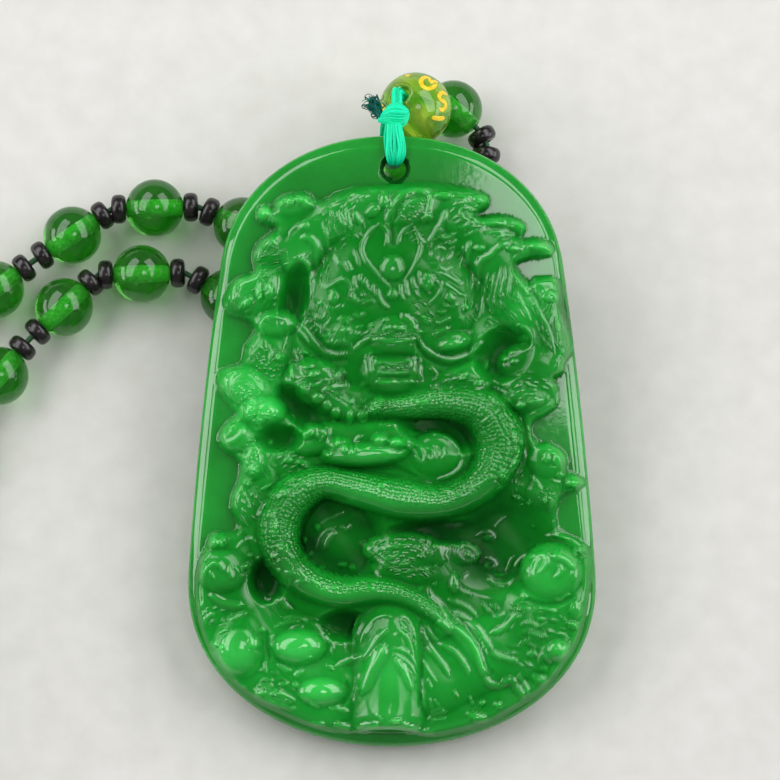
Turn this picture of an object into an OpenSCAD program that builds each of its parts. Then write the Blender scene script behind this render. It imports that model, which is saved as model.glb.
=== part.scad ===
// Carved pendant necklace, lying on a table: an arched jade plaque with a dragon in relief,
// face up and leaning on its own strand of glass beads, a silk loop with its knot through the
// drill hole, one larger gilt-marked bead above the knot, and the strand laid out in a loop.
// Millimetres. X runs to the right of the plaque, Y towards its crown, Z up from the table.

/* [Plaque] */
// Height of the plaque, foot to crown
plaque_h = 62; // [58:1:64]
// Width across the widest part, low down
plaque_w = 41.2; // [38:0.2:42]
// Thickness at the plain margin
margin_t = 4.6; // [4.4:0.1:5]
// Height of the carving as a share of the real one
relief = 1; // [0.7:0.1:1.1]
// Diameter of the drill hole for the silk
hole_d = 2.3; // [2.2:0.1:2.6]
// Angle at which the plaque leans on the beads below it, in degrees
lean = 8.6; // [8.6:0.1:9.2]

/* [Strand] */
// Diameter of a glass bead
bead_d = 6; // [5.6:0.1:6]
// Diameter of a glass bead's bore
bead_bore = 1.2; // [1.1:0.1:1.4]
// Distance from bead to bead along the strand
bead_pitch = 9.8; // [9.4:0.1:10.4]
// Diameter of the larger gilt-marked bead
gilt_d = 7.4; // [7:0.1:7.4]
// Diameter of the larger bead's bore
gilt_bore = 2; // [1.9:0.1:2.2]
// Diameter of the thread
thread_d = 0.6; // [0.5:0.1:0.6]

/* [Silk] */
// Width of the flat silk loop where it lies on the face
silk_w = 2.1; // [1.6:0.1:2.2]
// Thickness of the silk loop
silk_t = 0.8; // [0.6:0.1:0.8]
// Diameter of the knot
knot_d = 2.3; // [2:0.1:2.4]

/* [Hidden] */

jade = "#1E9632";
silk = "#00B478";
gilt_glass = "#2C7A12";
bead_glass = "#2E8F22";
thread_green = "#0F4A22";

// The plaque's outline: sides that taper upwards, a round foot and an arched crown.
foot_y = 18 * plaque_h / 62;
shoulder_y = 49 * plaque_h / 62;
crown_power = 2.15;
side_taper = 0.107;
side_swell = 0.35;
function side_half(y) = plaque_w / 2 - side_taper * (y - foot_y)
    + side_swell * max(0, 1 - pow((y - 34) / 17, 2));
function crown_share(y) = y <= shoulder_y ? 1 :
    pow(max(0, 1 - pow((y - shoulder_y) / (plaque_h - shoulder_y), crown_power)), 1 / crown_power);
function foot_share(y) = y >= foot_y ? 1 : sqrt(max(0, 1 - pow((foot_y - y) / foot_y, 2)));
function half_width(y) = side_half(y) * crown_share(y) * foot_share(y);

// The dragon's body: a round-topped ridge through these stations, all heights above the margin.
BODY_X = 0; BODY_Y = 1; BODY_HALF = 2; BODY_TOP = 3;
body = [ // x, y, half width, top
    [-2.0, 34.4, 1.4, 1.6], [1.8, 34.8, 1.6, 2.0], [5.8, 35.1, 2.0, 2.5], [9.2, 34.2, 2.4, 2.7],
    [10.9, 31.6, 2.6, 2.7], [10.5, 28.8, 2.4, 2.7], [8.2, 26.2, 2.0, 2.6], [4.8, 24.9, 1.9, 2.5],
    [0.8, 25.2, 2.3, 2.5], [-3.2, 26.2, 2.0, 2.5], [-7.0, 26.9, 1.8, 2.5], [-10.2, 25.4, 2.3, 2.6],
    [-11.6, 22.6, 2.3, 2.7], [-11.0, 19.4, 2.1, 2.6], [-8.6, 16.8, 1.9, 2.4], [-5.2, 15.7, 1.8, 2.2],
    [-1.2, 15.9, 1.6, 2.0], [2.0, 15.0, 1.4, 1.8], [4.6, 13.4, 1.1, 1.6], [7.4, 11.0, 1.3, 1.5],
    [9.3, 8.2, 1.1, 1.3]];

// Raised forms: rounded mounds, each an oval in plan.
MOUND_X = 0; MOUND_Y = 1; MOUND_LONG = 2; MOUND_SHORT = 3; MOUND_TURN = 4; MOUND_TOP = 5;
mounds = [ // x, y, half length, half width, turn, top
    // head: skull, forehead plate, snout, jaw, brows, eyes, cheeks, crest and hair
    [0.0, 44.5, 8.6, 6.6, 0, 2.6], [0.0, 50.2, 3.2, 4.0, 90, 3.0], [0.2, 41.6, 3.4, 2.6, 0, 3.5],
    [-0.1, 38.0, 3.5, 2.4, 0, 2.7], [-5.4, 46.8, 3.2, 1.1, 14, 3.1], [5.6, 46.9, 3.2, 1.1, -14, 3.1],
    [-5.9, 45.6, 1.0, 1.0, 0, 3.5], [5.9, 45.4, 1.0, 1.0, 0, 3.5], [-4.8, 41.9, 2.2, 1.4, 20, 2.9],
    [5.9, 41.0, 2.4, 1.3, 20, 2.9], [2.2, 54.6, 3.2, 2.2, 20, 2.4], [-4.8, 52.6, 4.4, 3.0, 30, 1.9],
    [6.8, 51.8, 4.6, 3.4, -20, 1.9], [-7.4, 36.9, 2.6, 2.6, 0, 2.2], [-5.4, 34.8, 3.2, 1.5, -35, 2.0],
    // flames and mane on the right
    [8.0, 55.4, 3.4, 1.4, 0, 1.5], [11.2, 52.8, 3.2, 1.4, 0, 1.5], [13.4, 50.6, 3.6, 0.9, 0, 1.5],
    [11.6, 46.2, 4.6, 3.4, -40, 1.9], [15.6, 46.0, 2.4, 1.8, 90, 1.7], [16.6, 41.6, 3.4, 2.0, 100, 1.7],
    [14.2, 38.9, 3.6, 2.2, 0, 1.6], [13.4, 35.4, 2.8, 1.2, 0, 1.7], [15.2, 32.6, 1.7, 1.5, 0, 1.5],
    [15.8, 29.2, 2.3, 2.1, 0, 1.7], [18.4, 27.0, 1.2, 0.8, 0, 1.2],
    // clouds down the left side
    [-13.0, 54.2, 1.3, 1.0, 30, 1.1], [-9.8, 55.0, 2.6, 1.5, 10, 1.4], [-12.6, 50.6, 2.2, 2.0, 0, 1.7],
    [-13.8, 46.4, 3.2, 2.6, 30, 2.1], [-11.8, 42.9, 2.4, 1.6, 0, 1.7], [-12.6, 39.8, 2.2, 2.2, 0, 1.3],
    [-14.8, 36.6, 2.8, 2.2, -20, 2.2], [-13.2, 34.1, 2.6, 1.7, 0, 2.3], [-15.8, 31.4, 2.1, 1.8, 0, 1.9],
    [-14.0, 29.0, 2.2, 1.5, 90, 2.0], [-15.2, 24.6, 2.4, 1.6, 110, 1.2],
    // limb, knuckles, and the claw in its oval
    [-2.8, 29.7, 4.6, 1.4, 3, 3.1], [-1.2, 31.3, 0.9, 0.9, 0, 2.9], [0.4, 31.0, 1.0, 0.8, 0, 2.9],
    [-5.2, 30.6, 1.4, 0.9, 0, 2.6], [4.4, 29.7, 2.7, 2.3, 0, 1.7], [-7.6, 32.0, 1.6, 0.9, -20, 1.5],
    // fin behind the body and the small curls beside it
    [1.2, 20.0, 3.6, 1.4, 0, 1.6], [1.4, 18.0, 3.4, 1.0, -6, 1.3], [7.2, 19.6, 1.4, 1.0, 0, 0.6],
    [10.2, 18.2, 1.3, 1.2, 0, 0.7], [-6.6, 21.0, 1.4, 0.8, 50, 0.5],
    // foam and stones at the lower left
    [-17.6, 20.9, 1.2, 1.1, 0, 1.3], [-17.2, 17.9, 2.6, 2.4, 0, 2.2], [-16.6, 14.9, 2.4, 0.9, -16, 1.4],
    [-15.6, 10.6, 3.4, 2.6, 80, 2.2], [-9.4, 10.3, 2.9, 1.9, 0, 2.2], [-7.2, 5.8, 2.6, 1.5, 0, 1.9],
    [-12.0, 5.2, 2.4, 1.2, -14, 1.0],
    // rock, tail hair, round cloud and waves at the lower right
    [-0.2, 8.4, 5.6, 3.4, 90, 2.3], [4.6, 10.6, 3.0, 1.4, -60, 1.5], [6.6, 14.4, 2.2, 1.0, -40, 1.4],
    [16.2, 17.8, 3.2, 3.0, 0, 2.4], [11.6, 12.9, 2.2, 0.8, 30, 1.4], [15.0, 12.0, 3.0, 1.0, 0, 1.4],
    [16.4, 9.9, 1.8, 1.3, 10, 1.5], [12.4, 6.2, 2.3, 1.1, -24, 1.6]];

// Sunk places, cut below the level of the margin.
hollows = [ // x, y, half length, half width, turn, depth
    [-5.8, 20.9, 4.6, 4.2, 90, 2.1], [-9.9, 45.4, 3.2, 1.2, 80, 1.3], [11.2, 39.9, 2.6, 2.2, 40, 1.6],
    [-9.4, 34.4, 2.6, 1.3, -45, 1.3], [-11.4, 31.3, 2.0, 1.2, 0, 1.4], [-12.6, 16.9, 2.0, 1.6, 90, 1.4],
    [5.0, 32.2, 3.8, 1.8, -14, 1.2], [11.6, 20.8, 5.2, 4.4, 0, 1.1], [4.8, 21.9, 4.4, 1.1, 0, 1.0],
    [-4.8, 12.4, 2.2, 1.4, 0, 0.9], [5.6, 5.2, 3.2, 1.2, 0, 0.5]];

function oval(x, y, f) = let (
    dx = x - f[MOUND_X], dy = y - f[MOUND_Y], c = cos(f[MOUND_TURN]), s = sin(f[MOUND_TURN]))
    1 - pow((dx * c + dy * s) / f[MOUND_LONG], 2) - pow((dy * c - dx * s) / f[MOUND_SHORT], 2);
// A mound's foot lies this far under the margin, so that neighbours meet in a valley.
mound_foot = -0.6;
function rise(top, q) = q > 0 ? top - (top - mound_foot) * (1 - sqrt(q)) : mound_foot;
function ridge(x, y, a, b) = let (
    ab = [b[BODY_X] - a[BODY_X], b[BODY_Y] - a[BODY_Y]],
    ap = [x - a[BODY_X], y - a[BODY_Y]],
    t = min(1, max(0, ab * ap / (ab * ab))),
    half = a[BODY_HALF] + t * (b[BODY_HALF] - a[BODY_HALF]),
    top = a[BODY_TOP] + t * (b[BODY_TOP] - a[BODY_TOP]))
    rise(top, 1 - pow(norm(ap - t * ab) / half, 2));
function ground(x, y) = -max([for (f = hollows) let (q = oval(x, y, f)) q > 0 ? f[MOUND_TOP] * sqrt(q) : 0]);
// Height of the carved face over the margin, at a point of the plaque at its real size.
function carving(x, y) = let (u = x * 41.2 / plaque_w, v = y * 62 / plaque_h) relief * max(
    ground(u, v),
    max([for (f = mounds) rise(f[MOUND_TOP], oval(u, v, f))]),
    max([for (i = [1:len(body) - 1]) ridge(u, v, body[i - 1], body[i])]));

// The plaque's skin: spokes from its middle, crossed by rings from the back, round the edge, inwards.
spokes = 112;
edge_r = 2.3;
back_r = 1.8;
back_turns = [-90, -45, 0];
front_turns = [30, 60, 90];
inner_shares = [0.955, 0.91, 0.86, 0.81, 0.76, 0.71, 0.66, 0.6, 0.54, 0.48, 0.42, 0.36, 0.3, 0.23, 0.16, 0.08];
mid = [0, 0.48 * plaque_h];
rim = [for (i = [0:spokes - 1]) let (
    turn = 360 * i / spokes, y = plaque_h / 2 * (1 - cos(turn)), side = turn < 180 ? 1 : -1)
    [side * half_width(y), y]];
function spoke(i, inset) = mid + (rim[i] - mid) * (1 - inset / norm(rim[i] - mid));
// The skin lies flush with the rounded edge and takes the carving up as it leaves the edge.
function face_point(p, w, share) = [p[0], p[1], w + share * carving(p[0], p[1])];
back_rings = [for (turn = back_turns) [for (i = [0:spokes - 1]) let (
    p = spoke(i, back_r * (1 - cos(turn)))) [p[0], p[1], back_r * (1 + sin(turn))]]];
edge_rings = [for (turn = front_turns) [for (i = [0:spokes - 1])
    face_point(spoke(i, edge_r * (1 - cos(turn))), margin_t - edge_r * (1 - sin(turn)), 1 - cos(turn))]];
inner_rings = [for (share = inner_shares) [for (i = [0:spokes - 1])
    face_point(mid + (spoke(i, edge_r) - mid) * share, margin_t, 1)]];
rings = concat(back_rings, edge_rings, inner_rings);
skin_points = concat([for (ring = rings) each ring], [face_point(mid, margin_t, 1)]);
function on_ring(k, i) = k * spokes + i % spokes;
skin_faces = concat(
    [[for (i = [0:spokes - 1]) i]],
    [for (k = [0:len(rings) - 2], i = [0:spokes - 1]) [on_ring(k, i), on_ring(k + 1, i), on_ring(k + 1, i + 1)]],
    [for (k = [0:len(rings) - 2], i = [0:spokes - 1]) [on_ring(k, i), on_ring(k + 1, i + 1), on_ring(k, i + 1)]],
    [for (i = [0:spokes - 1])
        [on_ring(len(rings) - 1, i), len(skin_points) - 1, on_ring(len(rings) - 1, i + 1)]]);

// The drill hole, with its small countersink in the face.
hole_x = 0.3;
hole_y = 58.6 * plaque_h / 62;
sink = 0.4;

// The larger bead tucks under the crown of the plaque. These are in the plaque's own frame.
gilt_at = [2.4, plaque_h + 3, -0.95];
gilt_axis = [-0.459, 0.378, 0.804];

// The plaque's frame stands on its rounded back edge: this lifts it so that the edge touches the table.
lift = -back_r * (sin(lean) + cos(lean) - 1);
function laid_down(p) = [p[0], p[1] * cos(lean) - p[2] * sin(lean), p[1] * sin(lean) + p[2] * cos(lean) + lift];
function laid_way(p) = [p[0], p[1] * cos(lean) - p[2] * sin(lean), p[1] * sin(lean) + p[2] * cos(lean)];
gilt_mid = laid_down(gilt_at);
gilt_way = laid_way(gilt_axis);
function unit(v) = v / norm(v);
apart = unit(cross(gilt_way, [0, 0, 1])) * 0.42;

// The thread's route, by hand: out of the larger bead, round under the plaque, along the loop and back.
bead_z = bead_d / 2;
AT_BEAD = 3;
lead_out = [ // x, y, z, 1 where a bead sits between this point and the next
    [3.0, 64.8, 3.5, 0], [2.8, 67, bead_z, 0], [3.94, 67.53, bead_z, 1], [8.76, 63.47, bead_z, 0],
    [9.8, 61.7, bead_z, 0], [9.6, 59.7, bead_z, 1], [6.0, 50.6, bead_z, 1], [-2.4, 44.2, bead_z, 1],
    [-12.1, 43.2, bead_z, 1]];
loop_route = [ // x, y
    [-21.3, 48.3], [-25.8, 50], [-30.6, 47.8], [-37.4, 41.2], [-43.4, 33.6], [-48, 24], [-50, 10],
    [-52, -8], [-59, -30], [-73, -51], [-94, -67], [-120, -74], [-147, -71], [-171, -58], [-189, -38],
    [-198, -13], [-197, 14], [-187, 38], [-168, 57], [-143, 68], [-116, 70], [-90, 63], [-70, 52],
    [-57, 44], [-47, 42.6], [-37.4, 49.2], [-29, 54.9], [-24, 56.9], [-20, 55.2]];
lead_back = [ // x, y, z, 1 where a bead sits between this point and the next
    [-10.8, 51.2, bead_z, 1], [-2.4, 55.6, bead_z, 0], [-0.35, 57.98, bead_z, 1], [3.75, 62.82, bead_z, 0]];

// A smooth curve through the loop's route, cut into equal links of about one bead pitch.
curve_steps = 12;
function smooth(a, b, c, d, t) = (2 * b + (c - a) * t + (2 * a - 5 * b + 4 * c - d) * t * t
    + (3 * b - a - 3 * c + d) * t * t * t) / 2;
function before(i) = i > 0 ? loop_route[i - 1] : 2 * loop_route[0] - loop_route[1];
function after(i) = i < len(loop_route) - 1 ? loop_route[i + 1] :
    2 * loop_route[i] - loop_route[i - 1];
curve = concat(
    [for (i = [0:len(loop_route) - 2], k = [0:curve_steps - 1])
        smooth(before(i), loop_route[i], loop_route[i + 1], after(i + 1), k / curve_steps)],
    [loop_route[len(loop_route) - 1]]);
run = [for (i = 0, s = 0; i < len(curve); i = i + 1, s = i < len(curve) ? s + norm(curve[i] - curve[i - 1]) : s) s];
run_x = [for (i = [0:len(curve) - 1]) [run[i], curve[i][0]]];
run_y = [for (i = [0:len(curve) - 1]) [run[i], curve[i][1]]];
loop_length = run[len(run) - 1];
links = round(loop_length / bead_pitch);
loop_joints = [for (i = [0:links]) let (s = loop_length * i / links)
    [lookup(s, run_x), lookup(s, run_y), bead_z, 1]];

route = concat(lead_out, loop_joints, lead_back);
function spot(p) = [p[0], p[1], p[2]];
beads = [for (i = [0:len(route) - 2]) if (route[i][AT_BEAD] == 1)
    [(spot(route[i]) + spot(route[i + 1])) / 2, spot(route[i + 1]) - spot(route[i])]];
thread_path = concat(
    [gilt_mid - 0.6 * gilt_way + apart, gilt_mid - gilt_d / 2 * gilt_way + apart],
    [for (p = route) spot(p)],
    [gilt_mid - gilt_d / 2 * gilt_way - apart, gilt_mid - 0.6 * gilt_way - apart]);

// The middle of the whole necklace's box lies over the origin.
bead_xs = [for (b = beads) b[0][0]];
bead_ys = [for (b = beads) b[0][1]];
shift = [-(min(bead_xs) - bead_d / 2 + plaque_w / 2) / 2,
    -(min(bead_ys) + max(bead_ys)) / 2, 0];

// The silk: out from under the knot, over the crown, down the face, through the hole and up behind.
silk_route = [ // x, y, height over the back, half width, half thickness
    [0.15, 62.9, 4.65, 0.9, 0.42], [0.2, 62.2, 4.95, 1.0, 0.4], [0.25, 61.4, 5.12, 1.05, 0.4],
    [0.3, 60.6, 5.15, 1.05, 0.4], [0.3, 59.9, 5.1, 1.0, 0.4], [0.3, 59.3, 4.9, 0.85, 0.45],
    [0.3, 58.95, 4.4, 0.7, 0.5], [0.3, 58.8, 3.6, 0.65, 0.55], [0.3, 58.75, 2.3, 0.65, 0.55],
    [0.3, 58.75, 1.2, 0.65, 0.55], [0.25, 58.8, 0.3, 0.65, 0.5], [0.1, 59.0, -0.35, 0.65, 0.45],
    [-0.2, 59.5, -0.62, 0.6, 0.38], [-0.5, 60.3, -0.6, 0.55, 0.32], [-0.7, 61.2, -0.35, 0.5, 0.28],
    [-0.8, 61.8, 0.1, 0.5, 0.26], [-0.8, 62.2, 0.65, 0.5, 0.26], [-0.75, 62.6, 1.2, 0.5, 0.28],
    [-0.7, 62.95, 1.7, 0.5, 0.3], [-0.6, 63.2, 2.1, 0.5, 0.3]];
knot_at = [0.1, plaque_h + 1.85, 3.6];
knot_half = 0.4;
tail_at = [-1.9, plaque_h + 3.5, 2.7];
silk_core = 0.5;
mouth_at = gilt_at + (gilt_d / 2 + 0.5) * gilt_axis;
core_end = gilt_at + 0.5 * gilt_axis;

// A closed tube: one oval section at each point, standing square to the path.
function way(path, k) = unit(path[min(k + 1, len(path) - 1)] - path[max(k - 1, 0)]);
function square_to(v, w) = unit(v - (v * w) * w);
function section(at, side, up, half_w, half_t, sides) =
    [for (i = [0:sides - 1]) at + half_w * cos(360 * i / sides) * side + half_t * sin(360 * i / sides) * up];
module tube(sections) {
    n = len(sections[0]);
    last = len(sections) - 1;
    function at(k, i) = k * n + i % n;
    polyhedron(
        points = [for (s = sections) each s],
        faces = concat(
            [[for (i = [0:n - 1]) i]],
            [[for (i = [n - 1:-1:0]) at(last, i)]],
            [for (k = [0:last - 1], i = [0:n - 1]) [at(k, i), at(k + 1, i), at(k + 1, i + 1)]],
            [for (k = [0:last - 1], i = [0:n - 1]) [at(k, i), at(k + 1, i + 1), at(k, i + 1)]]),
        convexity = 4);
}

module laid() {
    translate(shift) children();
}

module on_plaque() {
    laid() translate([0, 0, lift]) rotate([lean, 0, 0]) children();
}

module along(direction) {
    rotate([0, acos(direction[2] / norm(direction)), atan2(direction[1], direction[0])]) children();
}

module carved_plaque() {
    color(jade) on_plaque() difference() {
        polyhedron(points = skin_points, faces = skin_faces, convexity = 8);
        translate([hole_x, hole_y, -1]) cylinder(d = hole_d, h = margin_t + 4, $fn = 48);
        translate([hole_x, hole_y, margin_t - sink])
            cylinder(d1 = hole_d, d2 = hole_d + 4 * sink, h = 2 * sink, $fn = 48);
    }
}

silk_sides = 10;
module silk_loop() {
    path = [for (s = silk_route) [s[0], s[1] + plaque_h - 62, s[2]]];
    color(silk) on_plaque() tube([for (k = [0:len(path) - 1]) let (w = way(path, k), side = [1, 0, 0])
        section(path[k], side, cross(w, side), silk_route[k][3] * silk_w / 2.1,
            silk_route[k][4] * silk_t / 0.8, silk_sides)]);
}

module silk_blend(a, r_a, b, r_b) {
    hull() {
        translate(a) sphere(r_a, $fn = 16);
        translate(b) sphere(r_b, $fn = 16);
    }
}

module silk_knot() {
    across = [knot_half, 0, 0];
    color(silk) on_plaque() {
        silk_blend(knot_at - across, knot_d / 2, knot_at + across, knot_d / 2);
        silk_blend(knot_at, 0.6, tail_at, 0.9);
        silk_blend(knot_at, silk_core, mouth_at, silk_core);
        silk_blend(mouth_at, silk_core, core_end, silk_core);
    }
}

module drilled_bead(d, bore) {
    difference() {
        sphere(d = d, $fn = 48);
        cylinder(d = bore, h = 2 * d, center = true, $fn = 24);
    }
}

module gilt_bead() {
    color(gilt_glass) laid() translate(gilt_mid) along(gilt_way) drilled_bead(gilt_d, gilt_bore);
}

module bead_string() {
    color(bead_glass) laid() for (b = beads) translate(b[0]) along(b[1]) drilled_bead(bead_d, bead_bore);
}

thread_sides = 8;
thread_ups = [for (k = 0, v = square_to([0.1, 0.2, 1], way(thread_path, 0)); k < len(thread_path);
    k = k + 1, v = k < len(thread_path) ? square_to(v, way(thread_path, k)) : v) v];
module thread() {
    color(thread_green) laid() tube([for (k = [0:len(thread_path) - 1]) let (up = thread_ups[k])
        section(thread_path[k], cross(up, way(thread_path, k)), up, thread_d / 2, thread_d / 2, thread_sides)]);
}

carved_plaque();
silk_loop();
silk_knot();
gilt_bead();
bead_string();
thread();
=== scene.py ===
# %% [markdown]
# # Carved pendant necklace
#
# An arched plaque of green jade with a dragon in deep relief hangs on a strand of green glass
# beads. Here it lies on a pale table, face up, leaning on its own beads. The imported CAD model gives
# every size and place; this lesson dresses it: the full carving, the glass, the silk and the gilt.

# %% Load the frame
import bpy
import math
import numpy as np
from mathutils import Matrix, Vector


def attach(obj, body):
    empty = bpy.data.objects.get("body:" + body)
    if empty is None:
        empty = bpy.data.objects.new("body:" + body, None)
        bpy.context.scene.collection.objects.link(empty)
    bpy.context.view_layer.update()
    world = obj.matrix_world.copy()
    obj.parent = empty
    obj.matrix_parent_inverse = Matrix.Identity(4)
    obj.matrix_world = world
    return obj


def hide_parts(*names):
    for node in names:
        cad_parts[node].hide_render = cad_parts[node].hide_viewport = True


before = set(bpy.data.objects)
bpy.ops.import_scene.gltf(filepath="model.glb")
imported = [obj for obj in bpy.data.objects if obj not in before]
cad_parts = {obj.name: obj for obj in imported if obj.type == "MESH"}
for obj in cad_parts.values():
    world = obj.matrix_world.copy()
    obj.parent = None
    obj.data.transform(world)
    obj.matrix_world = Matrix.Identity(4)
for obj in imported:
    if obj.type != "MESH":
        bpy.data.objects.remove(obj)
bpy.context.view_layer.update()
MM = 0.001

# %% [markdown]
# The plaque leans back on the strand, so its carving has a frame of its own: x across, y from the
# foot to the crown, w up from the flat back. The strand's route is given in the same x and y,
# measured on the table. These are the CAD model's own driving sizes, so that all pieces meet.

# %% Sizes and the strand's route
PLAQUE_H, PLAQUE_W, MARGIN_T = 62.0, 41.2, 4.6
BACK_R = 1.8
LEAN = math.radians(8.6)
LIFT = -BACK_R * (math.sin(LEAN) + math.cos(LEAN) - 1)
BEAD_D, BEAD_BORE, BEAD_PITCH = 6.0, 1.2, 9.8
GILT_D, GILT_BORE = 7.4, 2.0
BEAD_Z = BEAD_D / 2
LEAD_OUT = [  # x, y, z, 1 where a bead sits between this point and the next
    (3, 64.8, 3.5, 0), (2.8, 67, BEAD_Z, 0), (3.94, 67.53, BEAD_Z, 1), (8.76, 63.47, BEAD_Z, 0),
    (9.8, 61.7, BEAD_Z, 0), (9.6, 59.7, BEAD_Z, 1), (6, 50.6, BEAD_Z, 1), (-2.4, 44.2, BEAD_Z, 1),
    (-12.1, 43.2, BEAD_Z, 1)]
LOOP_ROUTE = [  # x, y
    (-21.3, 48.3), (-25.8, 50), (-30.6, 47.8), (-37.4, 41.2), (-43.4, 33.6), (-48, 24), (-50, 10),
    (-52, -8), (-59, -30), (-73, -51), (-94, -67), (-120, -74), (-147, -71), (-171, -58), (-189, -38),
    (-198, -13), (-197, 14), (-187, 38), (-168, 57), (-143, 68), (-116, 70), (-90, 63), (-70, 52),
    (-57, 44), (-47, 42.6), (-37.4, 49.2), (-29, 54.9), (-24, 56.9), (-20, 55.2)]
LEAD_BACK = [  # x, y, z, 1 where a bead sits between this point and the next
    (-10.8, 51.2, BEAD_Z, 1), (-2.4, 55.6, BEAD_Z, 0), (-0.35, 57.98, BEAD_Z, 1), (3.75, 62.82, BEAD_Z, 0)]
CURVE_STEPS = 12
print(len(LEAD_OUT) + len(LOOP_ROUTE) + len(LEAD_BACK), "points of the strand's route")


# %% Place the beads along the route
def smooth_path(points, steps, closed=False):
    """A Catmull-Rom curve through the points, as an array."""
    p = np.array(points, float)
    if closed:
        p = np.vstack([p[-1], p, p[0], p[1]])
    else:
        p = np.vstack([2 * p[0] - p[1], p, 2 * p[-1] - p[-2]])
    t = (np.arange(steps) / steps)[:, None]
    spans = [0.5 * (2 * b + (c - a) * t + (2 * a - 5 * b + 4 * c - d) * t ** 2
                    + (3 * b - a - 3 * c + d) * t ** 3)
             for a, b, c, d in zip(p, p[1:], p[2:], p[3:])]
    return np.vstack(spans + [p[-2][None]])


def gone_so_far(path):
    """Distance along a path at each of its points, from 0."""
    return np.concatenate([[0], np.cumsum(np.linalg.norm(np.diff(path, axis=0), axis=1))])


curve = smooth_path(LOOP_ROUTE, CURVE_STEPS)
run = gone_so_far(curve)
stops = np.linspace(0, run[-1], round(run[-1] / BEAD_PITCH) + 1)
joints = [(np.interp(s, run, curve[:, 0]), np.interp(s, run, curve[:, 1]), BEAD_Z, 1) for s in stops]
route = np.array(LEAD_OUT + joints + LEAD_BACK)
bead_links = [k for k in range(len(route) - 1) if route[k, 3]]
bead_mids = np.array([(route[k, :3] + route[k + 1, :3]) / 2 for k in bead_links])
SHIFT = np.array([-(bead_mids[:, 0].min() - BEAD_D / 2 + PLAQUE_W / 2) / 2,
                  -(bead_mids[:, 1].min() + bead_mids[:, 1].max()) / 2, 0])
print(len(bead_links), "beads at a pitch of", BEAD_PITCH, "mm")


# %% From the plaque's frame to the table
def laid_way(v):
    """A direction in the plaque's frame, turned to the table's."""
    v = np.asarray(v, float)
    return np.stack([v[..., 0], v[..., 1] * math.cos(LEAN) - v[..., 2] * math.sin(LEAN),
                     v[..., 1] * math.sin(LEAN) + v[..., 2] * math.cos(LEAN)], -1)


def laid(p):
    """Points of the plaque's frame in mm, placed on the table in metres."""
    return (laid_way(p) + SHIFT + (0, 0, LIFT)) * MM


HOLE_AT = (0.3, 58.6)
print("drill hole at", np.round(laid((*HOLE_AT, MARGIN_T)) / MM, 2), "mm on the table")

# %% [markdown]
# The camera comes next, because every other choice is judged through it. A long lens half a metre
# away looks straight at the plaque's face, as a jeweller's photograph does.

# %% Camera
VIEW_MM, CAMERA_MM, SENSOR_MM = 78.9, 500.0, 36.0
AIM = (-0.2, 36.2, MARGIN_T)
camera = bpy.data.objects.new("camera", bpy.data.cameras.new("camera"))
bpy.context.collection.objects.link(camera)
camera.data.sensor_width = SENSOR_MM
camera.data.lens = SENSOR_MM * CAMERA_MM / VIEW_MM
aim = Vector(laid(AIM))
face_way = Vector(laid_way((0, 0, 1)))
crown_way = Vector(laid_way((0, 1, 0)))
turn = Matrix((crown_way.cross(face_way), crown_way, face_way)).transposed()
camera.matrix_world = Matrix.Translation(aim + face_way * CAMERA_MM * MM) @ turn.to_4x4()
camera.data.clip_start, camera.data.clip_end = 0.01, 5
bpy.context.scene.camera = camera
print("lens", round(camera.data.lens), "mm, looking at", np.round(np.array(aim) / MM, 1))

# %% [markdown]
# ## The carving
#
# A carver roughs out the big forms first and cuts hair, scales and lines into them afterwards. The
# mesh follows the same order. Its height over the plain margin is worked out at every point: first
# hollows, mounds and the dragon's coiling body, much as in the CAD model, then small domes, raised
# lines and cuts, from short tables read off the real carving. Strokes finer than the mesh's
# cells come last, and the stone's material draws those.

# %% The dragon's body, the mounds and the hollows
BODY = [  # x, y, half width, top
    (-2, 34.4, 1.4, 1.6), (1.8, 34.8, 1.6, 2), (5.8, 35.1, 2, 2.5), (9.2, 34.2, 2.4, 2.7),
    (10.9, 31.6, 2.6, 2.7), (10.5, 28.8, 2.4, 2.7), (8.2, 26.2, 2, 2.6), (4.8, 24.9, 1.9, 2.5),
    (0.8, 25.2, 2.3, 2.5), (-3.2, 26.2, 2, 2.5), (-7, 26.9, 1.8, 2.5), (-10.2, 25.4, 2.3, 2.6),
    (-11.6, 22.6, 2.3, 2.7), (-11, 19.4, 2.1, 2.6), (-8.6, 16.8, 1.9, 2.4), (-5.2, 15.7, 1.8, 2.2),
    (-1.2, 15.9, 1.6, 2), (2, 15, 1.4, 1.8), (4.6, 13.4, 1.1, 1.6), (7.4, 11, 1.3, 1.5),
    (9.3, 8.2, 1.1, 1.3)]
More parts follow.
